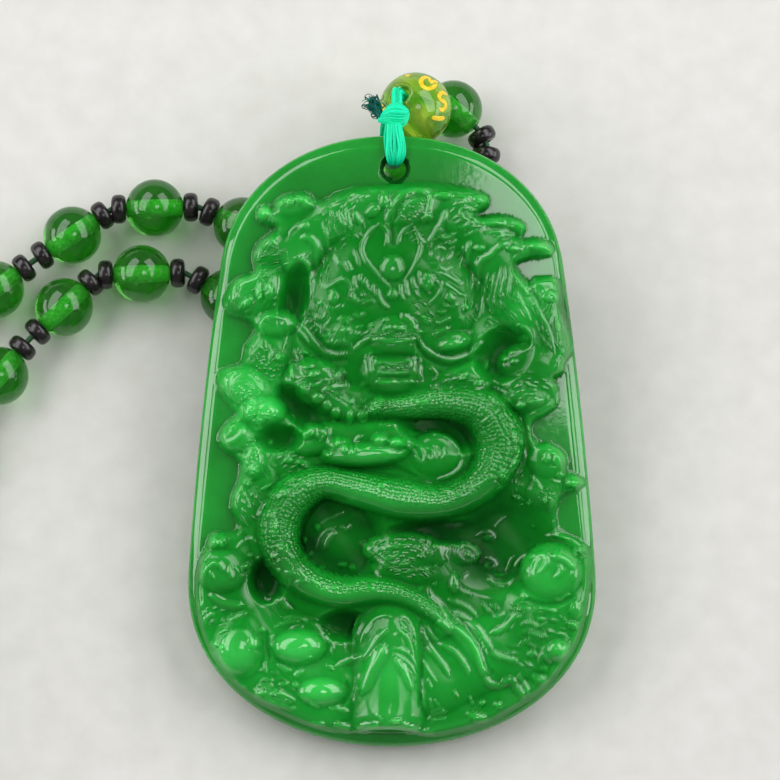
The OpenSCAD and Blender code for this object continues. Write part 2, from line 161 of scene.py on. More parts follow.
MOUNDS = [  # x, y, half length, half width, turn, top
    # head: skull, nose, snout, cheeks, crest, hair and beard
    (0, 45, 8.6, 7.4, 0, 2), (0.2, 41.8, 3.4, 2.4, 0, 2.5), (-0.1, 38, 3.5, 2.4, 0, 2.3),
    (-4.8, 41.9, 2.4, 1.6, 20, 2.1), (5.9, 41, 2.2, 1.3, 14, 2.05), (2.2, 54.6, 3.2, 2.2, 20, 1.9),
    (-4.8, 53, 4, 2, 24, 1.2), (6.8, 52.2, 4.2, 2.4, -20, 1.25), (-7.4, 36.9, 2.6, 2.6, 0, 1.9),
    (-5.4, 34.8, 3.2, 1.5, -35, 1.8),
    # flames and mane on the right
    (8, 55.4, 3.4, 1.4, 0, 1.1), (11.2, 52.8, 3.2, 1.4, 0, 1.1), (13.4, 50.6, 3.6, 1.1, 0, 1.1),
    (12.4, 45.4, 4.4, 2.8, -50, 1.2), (15.6, 46, 2.4, 1.8, 90, 1.25), (16.6, 41.6, 3.4, 2, 100, 1.3),
    (14.2, 38.9, 3.6, 2.2, 0, 1.4), (13.4, 35.4, 2.8, 1.2, 0, 1.4), (15.2, 32.6, 1.7, 1.5, 0, 1.2),
    (15.8, 29.2, 2.3, 2.1, 0, 1.25), (18.4, 27, 1.2, 0.8, 0, 0.9),
    # clouds down the left side
    (-13, 54.2, 1.3, 1, 30, 1.1), (-9.8, 55, 2.6, 1.5, 10, 1.36), (-12.6, 50.6, 2.2, 2, 0, 1.4),
    (-13.8, 46.4, 3.2, 2.6, 30, 1.9), (-11.8, 42.9, 2.4, 1.6, 0, 1.59), (-12.6, 39.8, 2.2, 2.2, 0, 1.28),
    (-14.8, 36.6, 2.8, 2.2, -20, 1.98), (-13.2, 34.1, 2.6, 1.7, 0, 2.06), (-15.8, 31.4, 2.1, 1.8, 0, 1.75),
    (-14, 29, 2.2, 1.5, 90, 1.82), (-15.2, 24.6, 2.4, 1.6, 110, 1.2),
    # limb, knuckles, and the claw in its oval
    (-2.8, 29.7, 4.6, 1.4, 3, 2.5), (-1.2, 31.2, 1.2, 0.9, 0, 2.2), (0.5, 30.9, 1.2, 0.8, 0, 2.2),
    (-5.2, 30.6, 1.6, 1.1, 0, 2.1), (4.4, 29.7, 2.7, 2.3, 0, 0.7), (-7.6, 32, 1.6, 0.9, -20, 1.43),
    # fin behind the body and the small curls beside it
    (1.2, 20, 4.2, 1.9, 0, 0.8), (1.6, 17.9, 3.8, 1.4, -6, 0.7), (7.2, 19.6, 1.8, 1.2, 0, 0.1),
    # foam and stones at the lower left
    (-17.6, 20.9, 1.2, 1.1, 0, 1.28), (-17.2, 17.9, 2.6, 2.4, 0, 1.7), (-15.6, 10.6, 3.4, 2.6, 80, 1.5),
    (-9.4, 10.3, 2.9, 1.9, 0, 1.4), (-7.2, 5.8, 2.6, 1.5, 0, 1.2), (-12, 5.2, 2.4, 1.2, -14, 1),
    # round cloud and wave at the lower right
    (16.2, 17.8, 3.2, 3, 0, 1.9), (16.4, 9.9, 1.8, 1.3, 10, 1.3)]
HOLLOWS = [  # x, y, half length, half width, turn, depth
    (-5.8, 20.9, 4.6, 4.2, 90, 1.7), (-9.9, 45.4, 3.2, 1.2, 80, 0.35), (11.2, 39.9, 2.6, 2.2, 40, 0.5),
    (-9.4, 34.4, 2.6, 1.3, -45, 0.4), (-11.4, 31.3, 2, 1.2, 0, 0.45), (-12.6, 16.9, 2, 1.6, 90, 0.5),
    (5, 32.2, 3.8, 1.8, -14, 1), (11.6, 20.8, 5.2, 4.4, 0, 0.9), (4.8, 21.9, 4.4, 1.1, 0, 0.8),
    (-4.8, 12.4, 2.2, 1.4, 0, 0.4)]
print(len(MOUNDS), "mounds,", len(HOLLOWS), "hollows,", len(BODY), "stations of the body")

# %% [markdown]
# The carved part stands on the plain margin as one field with a lobed border. Inside it, wide soft
# beds swell under the head, the mane and the clouds, and the rock at the foot is a ridge whose two
# slopes meet in an edge.

# %% The field, its beds and the rock
# The field's border runs round from the foot, counter-clockwise.
FIELD = [  # x, y
    (0.2, 1.6), (2.2, 1.35), (4.3, 1.2), (7, 1.7), (9.6, 2.3), (11.8, 3.6), (14.1, 5), (15.9, 6.4),
    (17.6, 8.8), (18.7, 10.6), (19.5, 13.1), (19.9, 15.8), (20.3, 18.2), (20.1, 19.8), (19.3, 20.9),
    (18.2, 21.5), (17.1, 22.1), (16.7, 23.2), (16.9, 24.6), (17.4, 25.6), (18.6, 25.9), (19.5, 26.5),
    (19.5, 27.2), (18.7, 27.7), (17.8, 28.1), (17.8, 29.3), (17.1, 30.3), (15.9, 30.9), (14.8, 31),
    (14.2, 31.9), (14.4, 33), (15.3, 33.5), (16.6, 34.4), (17, 35.6), (16.8, 36.8), (16.6, 37.3),
    (17.4, 38), (17.7, 39.2), (18.5, 39.9), (18.8, 40.9), (18.3, 42.3), (17.6, 43.5), (17.3, 45),
    (17.2, 46.2), (16.8, 47.4), (15.9, 47.8), (14.5, 47.7), (13.8, 47.3), (13.1, 48), (12.7, 48.9),
    (13.9, 49.4), (15.3, 49.5), (16.2, 49.8), (16.35, 50.5), (15.7, 51.3), (14.5, 51.6), (13.4, 51.5),
    (13.4, 51.9), (13.6, 52.8), (12.6, 53.6), (10.8, 53.95), (9.1, 53.8), (8.9, 54.1), (9.7, 54.6),
    (10, 55.4), (9.45, 56.1), (7.8, 56.65), (5.8, 57), (3.3, 57.3), (0.8, 57.2), (-0.8, 57), (-2.4, 56.9),
    (-4, 56.8), (-5.5, 56.3), (-6.9, 55.6), (-7.8, 55.6), (-8.3, 56), (-9.2, 56.3), (-10.3, 56.1),
    (-11.3, 55.8), (-11.9, 55.2), (-12.1, 54.7), (-12.8, 55), (-13.6, 54.6), (-13.8, 53.8), (-13.4, 53.1),
    (-12.6, 52.8), (-11.9, 52.5), (-12.6, 51.9), (-13.7, 51), (-14.2, 49.7), (-14, 48.5), (-14.4, 48),
    (-15.3, 47.8), (-16.3, 47.1), (-17, 45.8), (-17.1, 44.6), (-16.4, 43.7), (-15.3, 43.3), (-14.4, 42.9),
    (-14, 42.2), (-14.5, 41.4), (-15.1, 40.5), (-15.2, 39.7), (-15.5, 39), (-16.4, 38.7), (-17.4, 38.3),
    (-17.9, 37.3), (-17.5, 35.9), (-16.6, 34.7), (-15.9, 33.8), (-16.7, 33.1), (-17.4, 32.2), (-17.6, 31),
    (-17, 29.9), (-15.9, 29.3), (-15.5, 28.6), (-15.6, 27.2), (-16.3, 25.6), (-16.4, 24.2), (-15.8, 22.9),
    (-15.9, 22), (-17.2, 22), (-18.4, 21.7), (-18.9, 20.6), (-19.6, 19), (-19.9, 17), (-19.8, 14.5),
    (-19.5, 12.4), (-18.6, 10), (-17.3, 7.8), (-15.6, 6.1), (-13.4, 4.5), (-10.4, 3.1), (-7.6, 2),
    (-5, 1.5), (-2.6, 1.5)]
FIELD_TOP, FIELD_EDGE, EDGE_POWER = 0.62, 0.95, 2.5
BEDS = [  # half width, top, then the points of its middle line
    (3.4, 1.2, (-9.5, 54.6), (-12.3, 51.5), (-13.2, 47), (-12.4, 42), (-13.4, 36.5), (-14.6, 32),
     (-14, 28), (-13, 24), (-12, 20)), (9.8, 1.7, (0.2, 41), (0.2, 50)),
    (3.4, 1.5, (-9.6, 50.2), (-7, 52.6), (-2, 54.2), (4, 54.4), (9, 53)),
    (3.9, 1.5, (9.5, 51), (12.3, 47.5), (14.6, 43.5), (15, 39.5), (13.6, 36.5)),
    (2.6, 1, (14.6, 35.5), (15.2, 32), (16, 28.8), (15.2, 25.6)),
    (3, 1.5, (-9, 37), (-4, 35.2), (2, 36), (8, 37)),
    (5.2, 0.9, (-16.6, 18.6), (-15.6, 13), (-11.6, 8), (-6, 5.5)),
    (5.4, 1.2, (4, 7), (9, 9.4), (13.4, 11), (15.6, 15)), (3.4, 1, (-11, 18), (-7, 15.2), (0, 15), (5, 12)),
    (2.6, 0.8, (-3, 19.2), (1, 19.5), (4.5, 19.9)), (2.4, 1.4, (-8.5, 31.2), (-3, 31.6), (1, 31.4)),
    (1.6, 0.6, (17, 21.5), (18.4, 20.2))]
ROOFS = [  # half width, top, ridge line: two flat slopes that meet in an edge
    (3.9, 2.7, (-0.1, 11.4), (-0.2, 7.5), (-0.4, 3.6))]
print("the field stands", FIELD_TOP, "mm over the margin, with", len(BEDS), "beds in it")

# %% [markdown]
# All these forms need only a few measures of a point: how deep it lies in a turned oval, how far it
# is from a path, and how deep it lies inside a closed border. Where two forms meet, a rounded
# tool leaves a soft valley, so they join by a smooth maximum.

# %% Measures and soft joins
def eased(q):
    """0 to 1 with a soft start and a soft end."""
    return q * q * (3 - 2 * q)


def smooth_max(a, b, k):
    """The higher of a and b, with a soft valley of size k where they meet."""
    h = np.maximum(k - np.abs(a - b), 0) / k
    return np.maximum(a, b) + h * h * k / 4


def oval(x, y, cx, cy, long, short, turn_deg):
    """1 in the middle of a turned oval, 0 on its edge, negative outside."""
    c, s = math.cos(math.radians(turn_deg)), math.sin(math.radians(turn_deg))
    dx, dy = x - cx, y - cy
    return 1 - ((dx * c + dy * s) / long) ** 2 - ((dy * c - dx * s) / short) ** 2


def near_path(x, y, path):
    """For each point: its distance to the path, how far along it is, 0 to 1, and on which side."""
    ends = gone_so_far(path)
    best = np.full(x.shape, 1e9)
    along, side = np.zeros(x.shape), np.zeros(x.shape)
    for k in range(len(path) - 1):
        a, ab = path[k], path[k + 1] - path[k]
        t = np.clip(((x - a[0]) * ab[0] + (y - a[1]) * ab[1]) / (ab @ ab + 1e-12), 0, 1)
        dx, dy = x - a[0] - t * ab[0], y - a[1] - t * ab[1]
        d = np.hypot(dx, dy)
        closer = d < best
        best = np.where(closer, d, best)
        along = np.where(closer, ends[k] + t * (ends[k + 1] - ends[k]), along)
        side = np.where(closer, np.sign(ab[0] * dy - ab[1] * dx), side)
    return best, along / ends[-1], side


def depth_inside(x, y, path):
    """Distance of each point from a closed path, negative outside it."""
    d, _, _ = near_path(x, y, path)
    crossings = np.zeros(x.shape, int)
    for (ax, ay), (bx, by) in zip(path, path[1:]):
        if ay != by:
            crossings += ((ay > y) != (by > y)) & (x < ax + (y - ay) * (bx - ax) / (by - ay))
    return np.where(crossings % 2 == 1, d, -d)


print("depth in the middle of an oval:", oval(0, 0, 0, 0, 2, 1, 30))

# %% The roughed-out height
MOUND_FOOT, BLEND, BODY_BLEND, ROOF_BLEND = -0.6, 0.9, 0.5, 0.25
LEAST_FULL, FULLNESS = 1.1, 0.22  # the wider a mound, the flatter its top
HOLLOW_WIDEN, ROOF_FALL, ROOF_POWER = 1.35, 0.85, 1.8


def rough_forms(x, y):
    """Height of the big forms, place along and across the body, where it lies, and the border's fade."""
    deep = depth_inside(x, y, smooth_path(FIELD, 3, closed=True))
    shoulder = 1 - (1 - np.clip(deep / FIELD_EDGE, 0, 1)) ** EDGE_POWER
    z = np.full(x.shape, FIELD_TOP)
    for half, top, *points in BEDS:
        d, _, _ = near_path(x, y, smooth_path(points, 4))
        q = np.maximum(0, 1 - (d / half) ** 2)
        z = np.maximum(z, top * eased(q))
    for hx, hy, long, short, turn_deg, depth in HOLLOWS:
        q = eased(np.clip(oval(x, y, hx, hy, HOLLOW_WIDEN * long, HOLLOW_WIDEN * short, turn_deg), 0, 1))
        z = z * (1 - q) - depth * q
    for half, top, *points in ROOFS:
        d, _, _ = near_path(x, y, smooth_path(points, 4))
        slope = top * (1 - ROOF_FALL * (d / half) ** ROOF_POWER)
        z = smooth_max(z, np.where(d < half, slope, -1), ROOF_BLEND)
    for mx, my, long, short, turn_deg, top in MOUNDS:
        q = oval(x, y, mx, my, long, short, turn_deg)
        full = np.sqrt(np.maximum(0, 1 - np.clip(1 - q, 0, 1) ** (LEAST_FULL + FULLNESS * min(long, short))))
        z = smooth_max(z, np.where(q > 0, top - (top - MOUND_FOOT) * (1 - full), MOUND_FOOT - BLEND), BLEND)
    body = np.array(BODY)
    stations = gone_so_far(body[:, :2])
    d, along, side = near_path(x, y, smooth_path(body[:, :2], 4))
    s = along * stations[-1]
    half = np.interp(s, stations, body[:, 2])
    top = np.interp(s, stations, body[:, 3])
    q = 1 - (d / half) ** 2
    ridge = np.where(q > 0, top - (top - MOUND_FOOT) * (1 - np.sqrt(np.maximum(q, 0))), MOUND_FOOT - BLEND)
    on_body = (ridge >= z) & (q > 0)
    return smooth_max(z, ridge, BODY_BLEND) * shoulder, s, d / half * side, on_body, shoulder


trial = rough_forms(np.array([BODY[4][0]]), np.array([BODY[4][1]]))[0]
print("the body's right turn stands", round(float(trial[0]), 2), "mm over the margin")

# %% [markdown]
# Small domes are what catch the light: eyes, knuckles, drops, bubbles of foam. Each stands on the
# form under it. The head's come first, then the flames and clouds, the middle and the foot.

# %% Small domes of the head
HEAD_DOMES = [  # x, y, half length, half width, turn, height
    # boss of the forehead shield, the drop under it, eyes
    (0.05, 48.5, 1.1, 1.15, 0, 0.75), (0.05, 45.8, 0.5, 0.55, 0, 0.45), (-5.95, 45.6, 0.55, 0.7, 0, 0.45),
    (5.9, 45.5, 0.5, 0.5, 0, 0.4),
    # cheeks, nostrils and lip
    (-4.75, 43.3, 0.75, 0.36, 0, 0.35), (-4.65, 42.25, 0.42, 0.25, 0, 0.3), (5, 44.05, 0.42, 0.2, 0, 0.25),
    (6, 40.75, 1.1, 0.5, 12, 0.4), (-0.7, 43.35, 0.35, 0.28, 20, 0.25), (-0.5, 42.5, 0.35, 0.25, 30, 0.3),
    (0.75, 42.45, 0.55, 0.3, -10, 0.35), (3.5, 43.25, 0.4, 0.5, 20, 0.4), (3.1, 43.6, 0.3, 0.2, 0, 0.2),
    (2.9, 42.05, 0.5, 0.15, 0, 0.2), (-2.1, 42.7, 0.35, 0.22, 20, 0.3), (-3.2, 42.6, 0.4, 0.16, 15, 0.25),
    (7.1, 43.4, 0.35, 0.2, -20, 0.25), (7.5, 44.6, 0.5, 0.3, -30, 0.4), (-7.3, 45, 0.35, 0.3, 0, 0.3),
    (0, 39.9, 2.6, 1, 0, 0.3),
    # knobs of the crest and hair petals
    (-0.75, 55.3, 0.5, 0.8, 10, 0.5), (-1.9, 54.3, 0.8, 0.55, 30, 0.5), (-1.9, 56.4, 0.4, 0.28, 0, 0.3),
    (-5.4, 56.6, 0.55, 0.3, 10, 0.3), (3.5, 53.5, 0.55, 0.4, 30, 0.4), (5.2, 55.8, 0.75, 0.4, 0, 0.5),
    (3.6, 47.1, 0.6, 0.85, 0, 0.5), (8.8, 50.5, 0.55, 0.32, 0, 0.4),
    # beard plates
    (-8.6, 38.9, 0.75, 0.55, 10, 0.6), (-8.8, 40, 0.4, 0.3, 0, 0.35), (-7.95, 37.85, 0.55, 0.4, 15, 0.5),
    (-8.85, 36.3, 0.5, 0.6, 0, 0.5), (-5.3, 37.9, 0.6, 0.4, 30, 0.45), (-7.5, 35.3, 0.6, 0.55, 40, 0.6),
    (-6.6, 34.5, 0.45, 0.55, 0, 0.5), (-5.75, 33.7, 0.45, 0.65, -10, 0.55),
    (-4.25, 33.4, 0.3, 0.65, 0, 0.5), (-2.95, 33.5, 0.5, 0.6, -25, 0.55),
    (-1.6, 34.6, 0.55, 0.95, -35, 0.6), (-4, 35.1, 0.28, 0.35, 0, 0.3), (-10.2, 38.3, 0.28, 0.85, 5, 0.5),
    (-2.9, 36.7, 0.35, 0.3, 0, 0.3), (-2.9, 35.1, 0.3, 0.2, 0, 0.25)]
print(len(HEAD_DOMES), "domes on the head")

# %% Small domes of the flames and clouds
SIDE_DOMES = [  # x, y, half length, half width, turn, height
    # flame tips and the clump beside the mane
    (9, 55.5, 0.75, 0.5, 0, 0.45), (12.9, 53, 0.6, 0.4, -30, 0.4), (14.8, 50.7, 0.9, 0.38, -5, 0.5),
    (12.3, 50.5, 0.75, 0.32, 0, 0.4), (16, 45.6, 0.75, 0.5, 0, 0.5), (17.3, 42.1, 0.55, 1.6, 16, 0.5),
    (11.3, 39.4, 0.4, 0.35, 0, 0.45), (12.3, 39.1, 0.4, 0.32, 0, 0.45), (12, 40.1, 0.35, 0.3, 0, 0.35),
    (13.2, 41.2, 0.5, 0.45, 0, 0.4), (9.6, 38.7, 0.3, 0.45, 0, 0.35), (7.2, 37.6, 0.5, 0.35, 40, 0.4),
    (8.7, 36.9, 0.55, 0.35, 30, 0.4),
    # clouds on the left
    (-12.75, 54.15, 0.5, 0.55, 0, 0.5), (-11.35, 55.2, 0.4, 0.5, 0, 0.4), (-10.35, 55.4, 0.5, 0.6, 0, 0.45),
    (-9.45, 55.5, 0.35, 0.5, 0, 0.4), (-8.65, 55.4, 0.6, 0.8, 0, 0.5), (-13.4, 46.05, 0.32, 0.85, 0, 0.5),
    (-12.4, 46.15, 0.5, 0.8, 0, 0.5), (-14.8, 44.9, 0.4, 0.85, -50, 0.5), (-8.9, 52.8, 0.55, 0.4, 30, 0.35),
    (-12, 51.1, 0.35, 0.45, 0, 0.3), (-11.3, 39.5, 0.45, 0.4, 0, 0.4), (-12.3, 33.9, 1.3, 1, 0, 0.5),
    (-13.6, 32.7, 0.7, 0.6, 0, 0.4), (-14.2, 34.2, 0.5, 1, -10, 0.4), (-12.3, 30.9, 0.3, 0.3, 0, 0.5),
    (-15.4, 29.3, 0.5, 0.45, 0, 0.35), (-13.9, 28.1, 0.5, 0.6, 0, 0.4), (-14.6, 26.9, 0.5, 0.4, 0, 0.35)]
print(len(SIDE_DOMES), "domes on the flames and clouds")

# %% Small domes of the claw, the body and the sunk ground
MIDDLE_DOMES = [  # x, y, half length, half width, turn, height
    # claw, knuckles and the toes over the limb
    (-1.3, 31, 0.5, 0.5, 30, 0.3), (0.3, 31, 0.7, 0.5, -10, 0.3), (-6.55, 29.8, 0.5, 0.4, 0, 0.45),
    (-5.5, 31, 0.3, 0.55, -10, 0.4), (-4.8, 30.3, 0.35, 0.45, 0, 0.4), (-4.1, 30.2, 0.2, 0.45, 0, 0.3),
    (-8.5, 31.9, 0.45, 0.75, -35, 0.6), (2.4, 31.8, 0.65, 0.3, -10, 0.4),
    # plates of the body's left turn, fins of its right turn
    (-10.5, 29.1, 0.5, 0.35, 0, 0.45), (-8.8, 28.7, 0.8, 0.35, -30, 0.45), (-9.6, 28.8, 0.25, 0.4, 0, 0.35),
    (-10.4, 27.4, 0.8, 0.45, 0, 0.5), (-11.5, 25.8, 1, 0.5, 12, 0.5), (-12.3, 23.7, 0.75, 0.5, 20, 0.5),
    (-11.85, 22.3, 0.5, 1, 0, 0.5), (-10.9, 20.3, 0.7, 0.5, -15, 0.5), (-12.7, 26.4, 0.6, 0.22, 30, 0.3),
    (-8.6, 27, 0.8, 1, 0, 0.3), (10.9, 35.2, 1.2, 0.55, -25, 0.6), (12.9, 34.6, 0.55, 0.4, 30, 0.5),
    (12.4, 31.5, 0.35, 0.7, 10, 0.5), (13.1, 31.1, 0.3, 0.65, 10, 0.45), (12.7, 30, 0.3, 0.5, 20, 0.4),
    (12.4, 28.7, 0.4, 0.9, -25, 0.55), (11.3, 27.6, 0.55, 0.6, 0, 0.5), (2.7, 35, 0.3, 0.3, 0, 0.3),
    (3.3, 35, 0.28, 0.28, 0, 0.3), (-1, 26.7, 0.6, 0.3, 25, 0.35), (14.9, 32, 0.4, 0.4, 0, 0.2),
    (15.6, 29.3, 0.4, 0.5, 0, 0.35), (16.6, 29.1, 0.35, 0.5, 0, 0.35), (17, 27.6, 0.5, 0.28, 20, 0.3),
    (18, 26.7, 0.55, 0.35, 0, 0.3),
    # small things in and round the hollow ring
    (-7.2, 18.25, 0.6, 0.2, -5, 0.5), (-5, 18.5, 0.5, 0.28, 0, 0.5), (-4, 18.2, 0.4, 0.35, 0, 0.45),
    (-8.9, 21, 0.25, 0.35, 0, 0.5), (-8.4, 19.5, 0.45, 0.25, 40, 0.5), (-7.6, 22.3, 0.3, 0.4, 0, 0.4),
    # fin scales and the leaf below them
    (3.1, 21.1, 0.3, 0.35, 0, 0.35), (3.8, 21.1, 0.3, 0.4, 0, 0.35), (4.4, 20.6, 0.3, 0.35, 0, 0.3),
    (3.8, 19.7, 0.25, 0.25, 0, 0.25), (2.9, 19.5, 0.35, 0.2, 0, 0.25), (1.25, 18.6, 0.45, 0.25, 10, 0.3),
    (0.25, 18.7, 0.35, 0.2, 0, 0.25), (4.4, 18.4, 0.2, 0.2, 0, 0.25), (4.3, 16.6, 0.2, 0.2, 0, 0.25),
    (3.3, 18.15, 0.6, 0.22, 0, 0.3), (3.6, 17.7, 0.22, 0.5, 0, 0.3), (2.9, 16.15, 0.3, 0.2, 0, 0.3),
    (6.3, 16.7, 0.5, 0.95, 0, 0.7), (9.7, 21.2, 0.4, 0.35, 0, 0.35), (9.6, 18.4, 0.3, 0.35, 0, 0.4),
    (10.9, 17.5, 0.5, 0.2, 0, 0.3), (7.6, 19.5, 0.35, 0.25, 0, 0.3), (12.6, 25.3, 0.5, 0.3, -20, 0.35),
    (13.8, 24.7, 0.25, 0.3, 0, 0.35), (15.4, 25, 0.25, 0.35, 0, 0.35), (14.3, 22.4, 0.16, 0.16, 0, 0.3),
    (18.6, 19.9, 0.4, 0.35, 0, 0.35), (19.3, 20.1, 0.4, 0.4, 0, 0.35), (17, 21.5, 0.9, 0.35, -20, 0.4)]
print(len(MIDDLE_DOMES), "domes in the middle")

# %% Small domes of the foot
FOOT_DOMES = [  # x, y, half length, half width, turn, height
    # foam balls, stones and drops at the lower left
    (-17.8, 20.8, 0.28, 0.45, 10, 0.35), (-17.25, 20.7, 0.25, 0.45, 10, 0.35),
    (-14.3, 19.5, 0.3, 0.25, 0, 0.3), (-13.5, 19.2, 0.22, 0.15, 0, 0.25),
    (-14.8, 18.4, 0.3, 0.4, -30, 0.35), (-12, 19.4, 0.5, 0.18, 0, 0.25), (-11.5, 18, 0.3, 0.18, 0, 0.3),
    (-9.4, 10.2, 2.3, 1.6, 0, 1.1), (-7.1, 5.7, 2, 1.3, 0, 1), (-15.3, 9.6, 1.9, 2.2, 0, 0.9),
    (-13.9, 10.7, 0.6, 0.6, 30, 0.3), (-18, 10.5, 0.45, 0.35, 0, 0.35), (-17.2, 10.3, 0.3, 0.2, -20, 0.3),
    (-13.2, 12, 0.35, 0.3, 0, 0.3), (-8.3, 9.2, 0.3, 0.15, 10, 0.2), (-7.8, 4.4, 0.5, 0.3, -20, 0.35),
    (-7.6, 2.4, 0.85, 0.28, -3, 0.4), (-9.7, 6.4, 0.4, 0.3, -40, 0.35), (-19.5, 14.4, 0.5, 0.4, 30, 0.3),
    (-15.2, 6.2, 0.6, 0.2, 5, 0.3), (-9.7, 2.7, 0.2, 0.15, 0, 0.3),
    # stones, waves and bubbles at the lower right
    (5.2, 12.2, 0.85, 0.8, -30, 0.45), (16.8, 10.1, 0.9, 0.85, 40, 0.5), (14.1, 9.6, 0.5, 0.35, 20, 0.35),
    (9.1, 4.6, 0.32, 0.28, 0, 0.4), (10.7, 4.4, 0.42, 0.25, -20, 0.4), (8, 4.8, 0.2, 0.45, 20, 0.35),
    (8.7, 3.1, 1.15, 0.42, -20, 0.45), (15, 6.9, 1, 0.45, -20, 0.4), (18.6, 14, 0.6, 0.8, -10, 0.4),
    (18.3, 12.4, 0.5, 0.4, 0, 0.35), (13, 7.4, 0.25, 0.15, 0, 0.25), (15, 13.1, 0.5, 0.25, -10, 0.3),
    (15.4, 8, 0.4, 0.28, -10, 0.3), (13.3, 15.6, 0.3, 0.45, 20, 0.35), (0.5, 2.9, 0.4, 0.2, 20, 0.3)]
DOMES = HEAD_DOMES + SIDE_DOMES + MIDDLE_DOMES + FOOT_DOMES
print(len(DOMES), "domes in all")

# %% [markdown]
# Raised lines are the carver's drawing: whiskers, eyelids, the rims of flames and clouds. Each is a
# smooth curve through a few points, thinning out at its ends. In section it has two flat facets and
# a soft crest, as a stroke has that was cut from both sides, and each facet shines as one line.

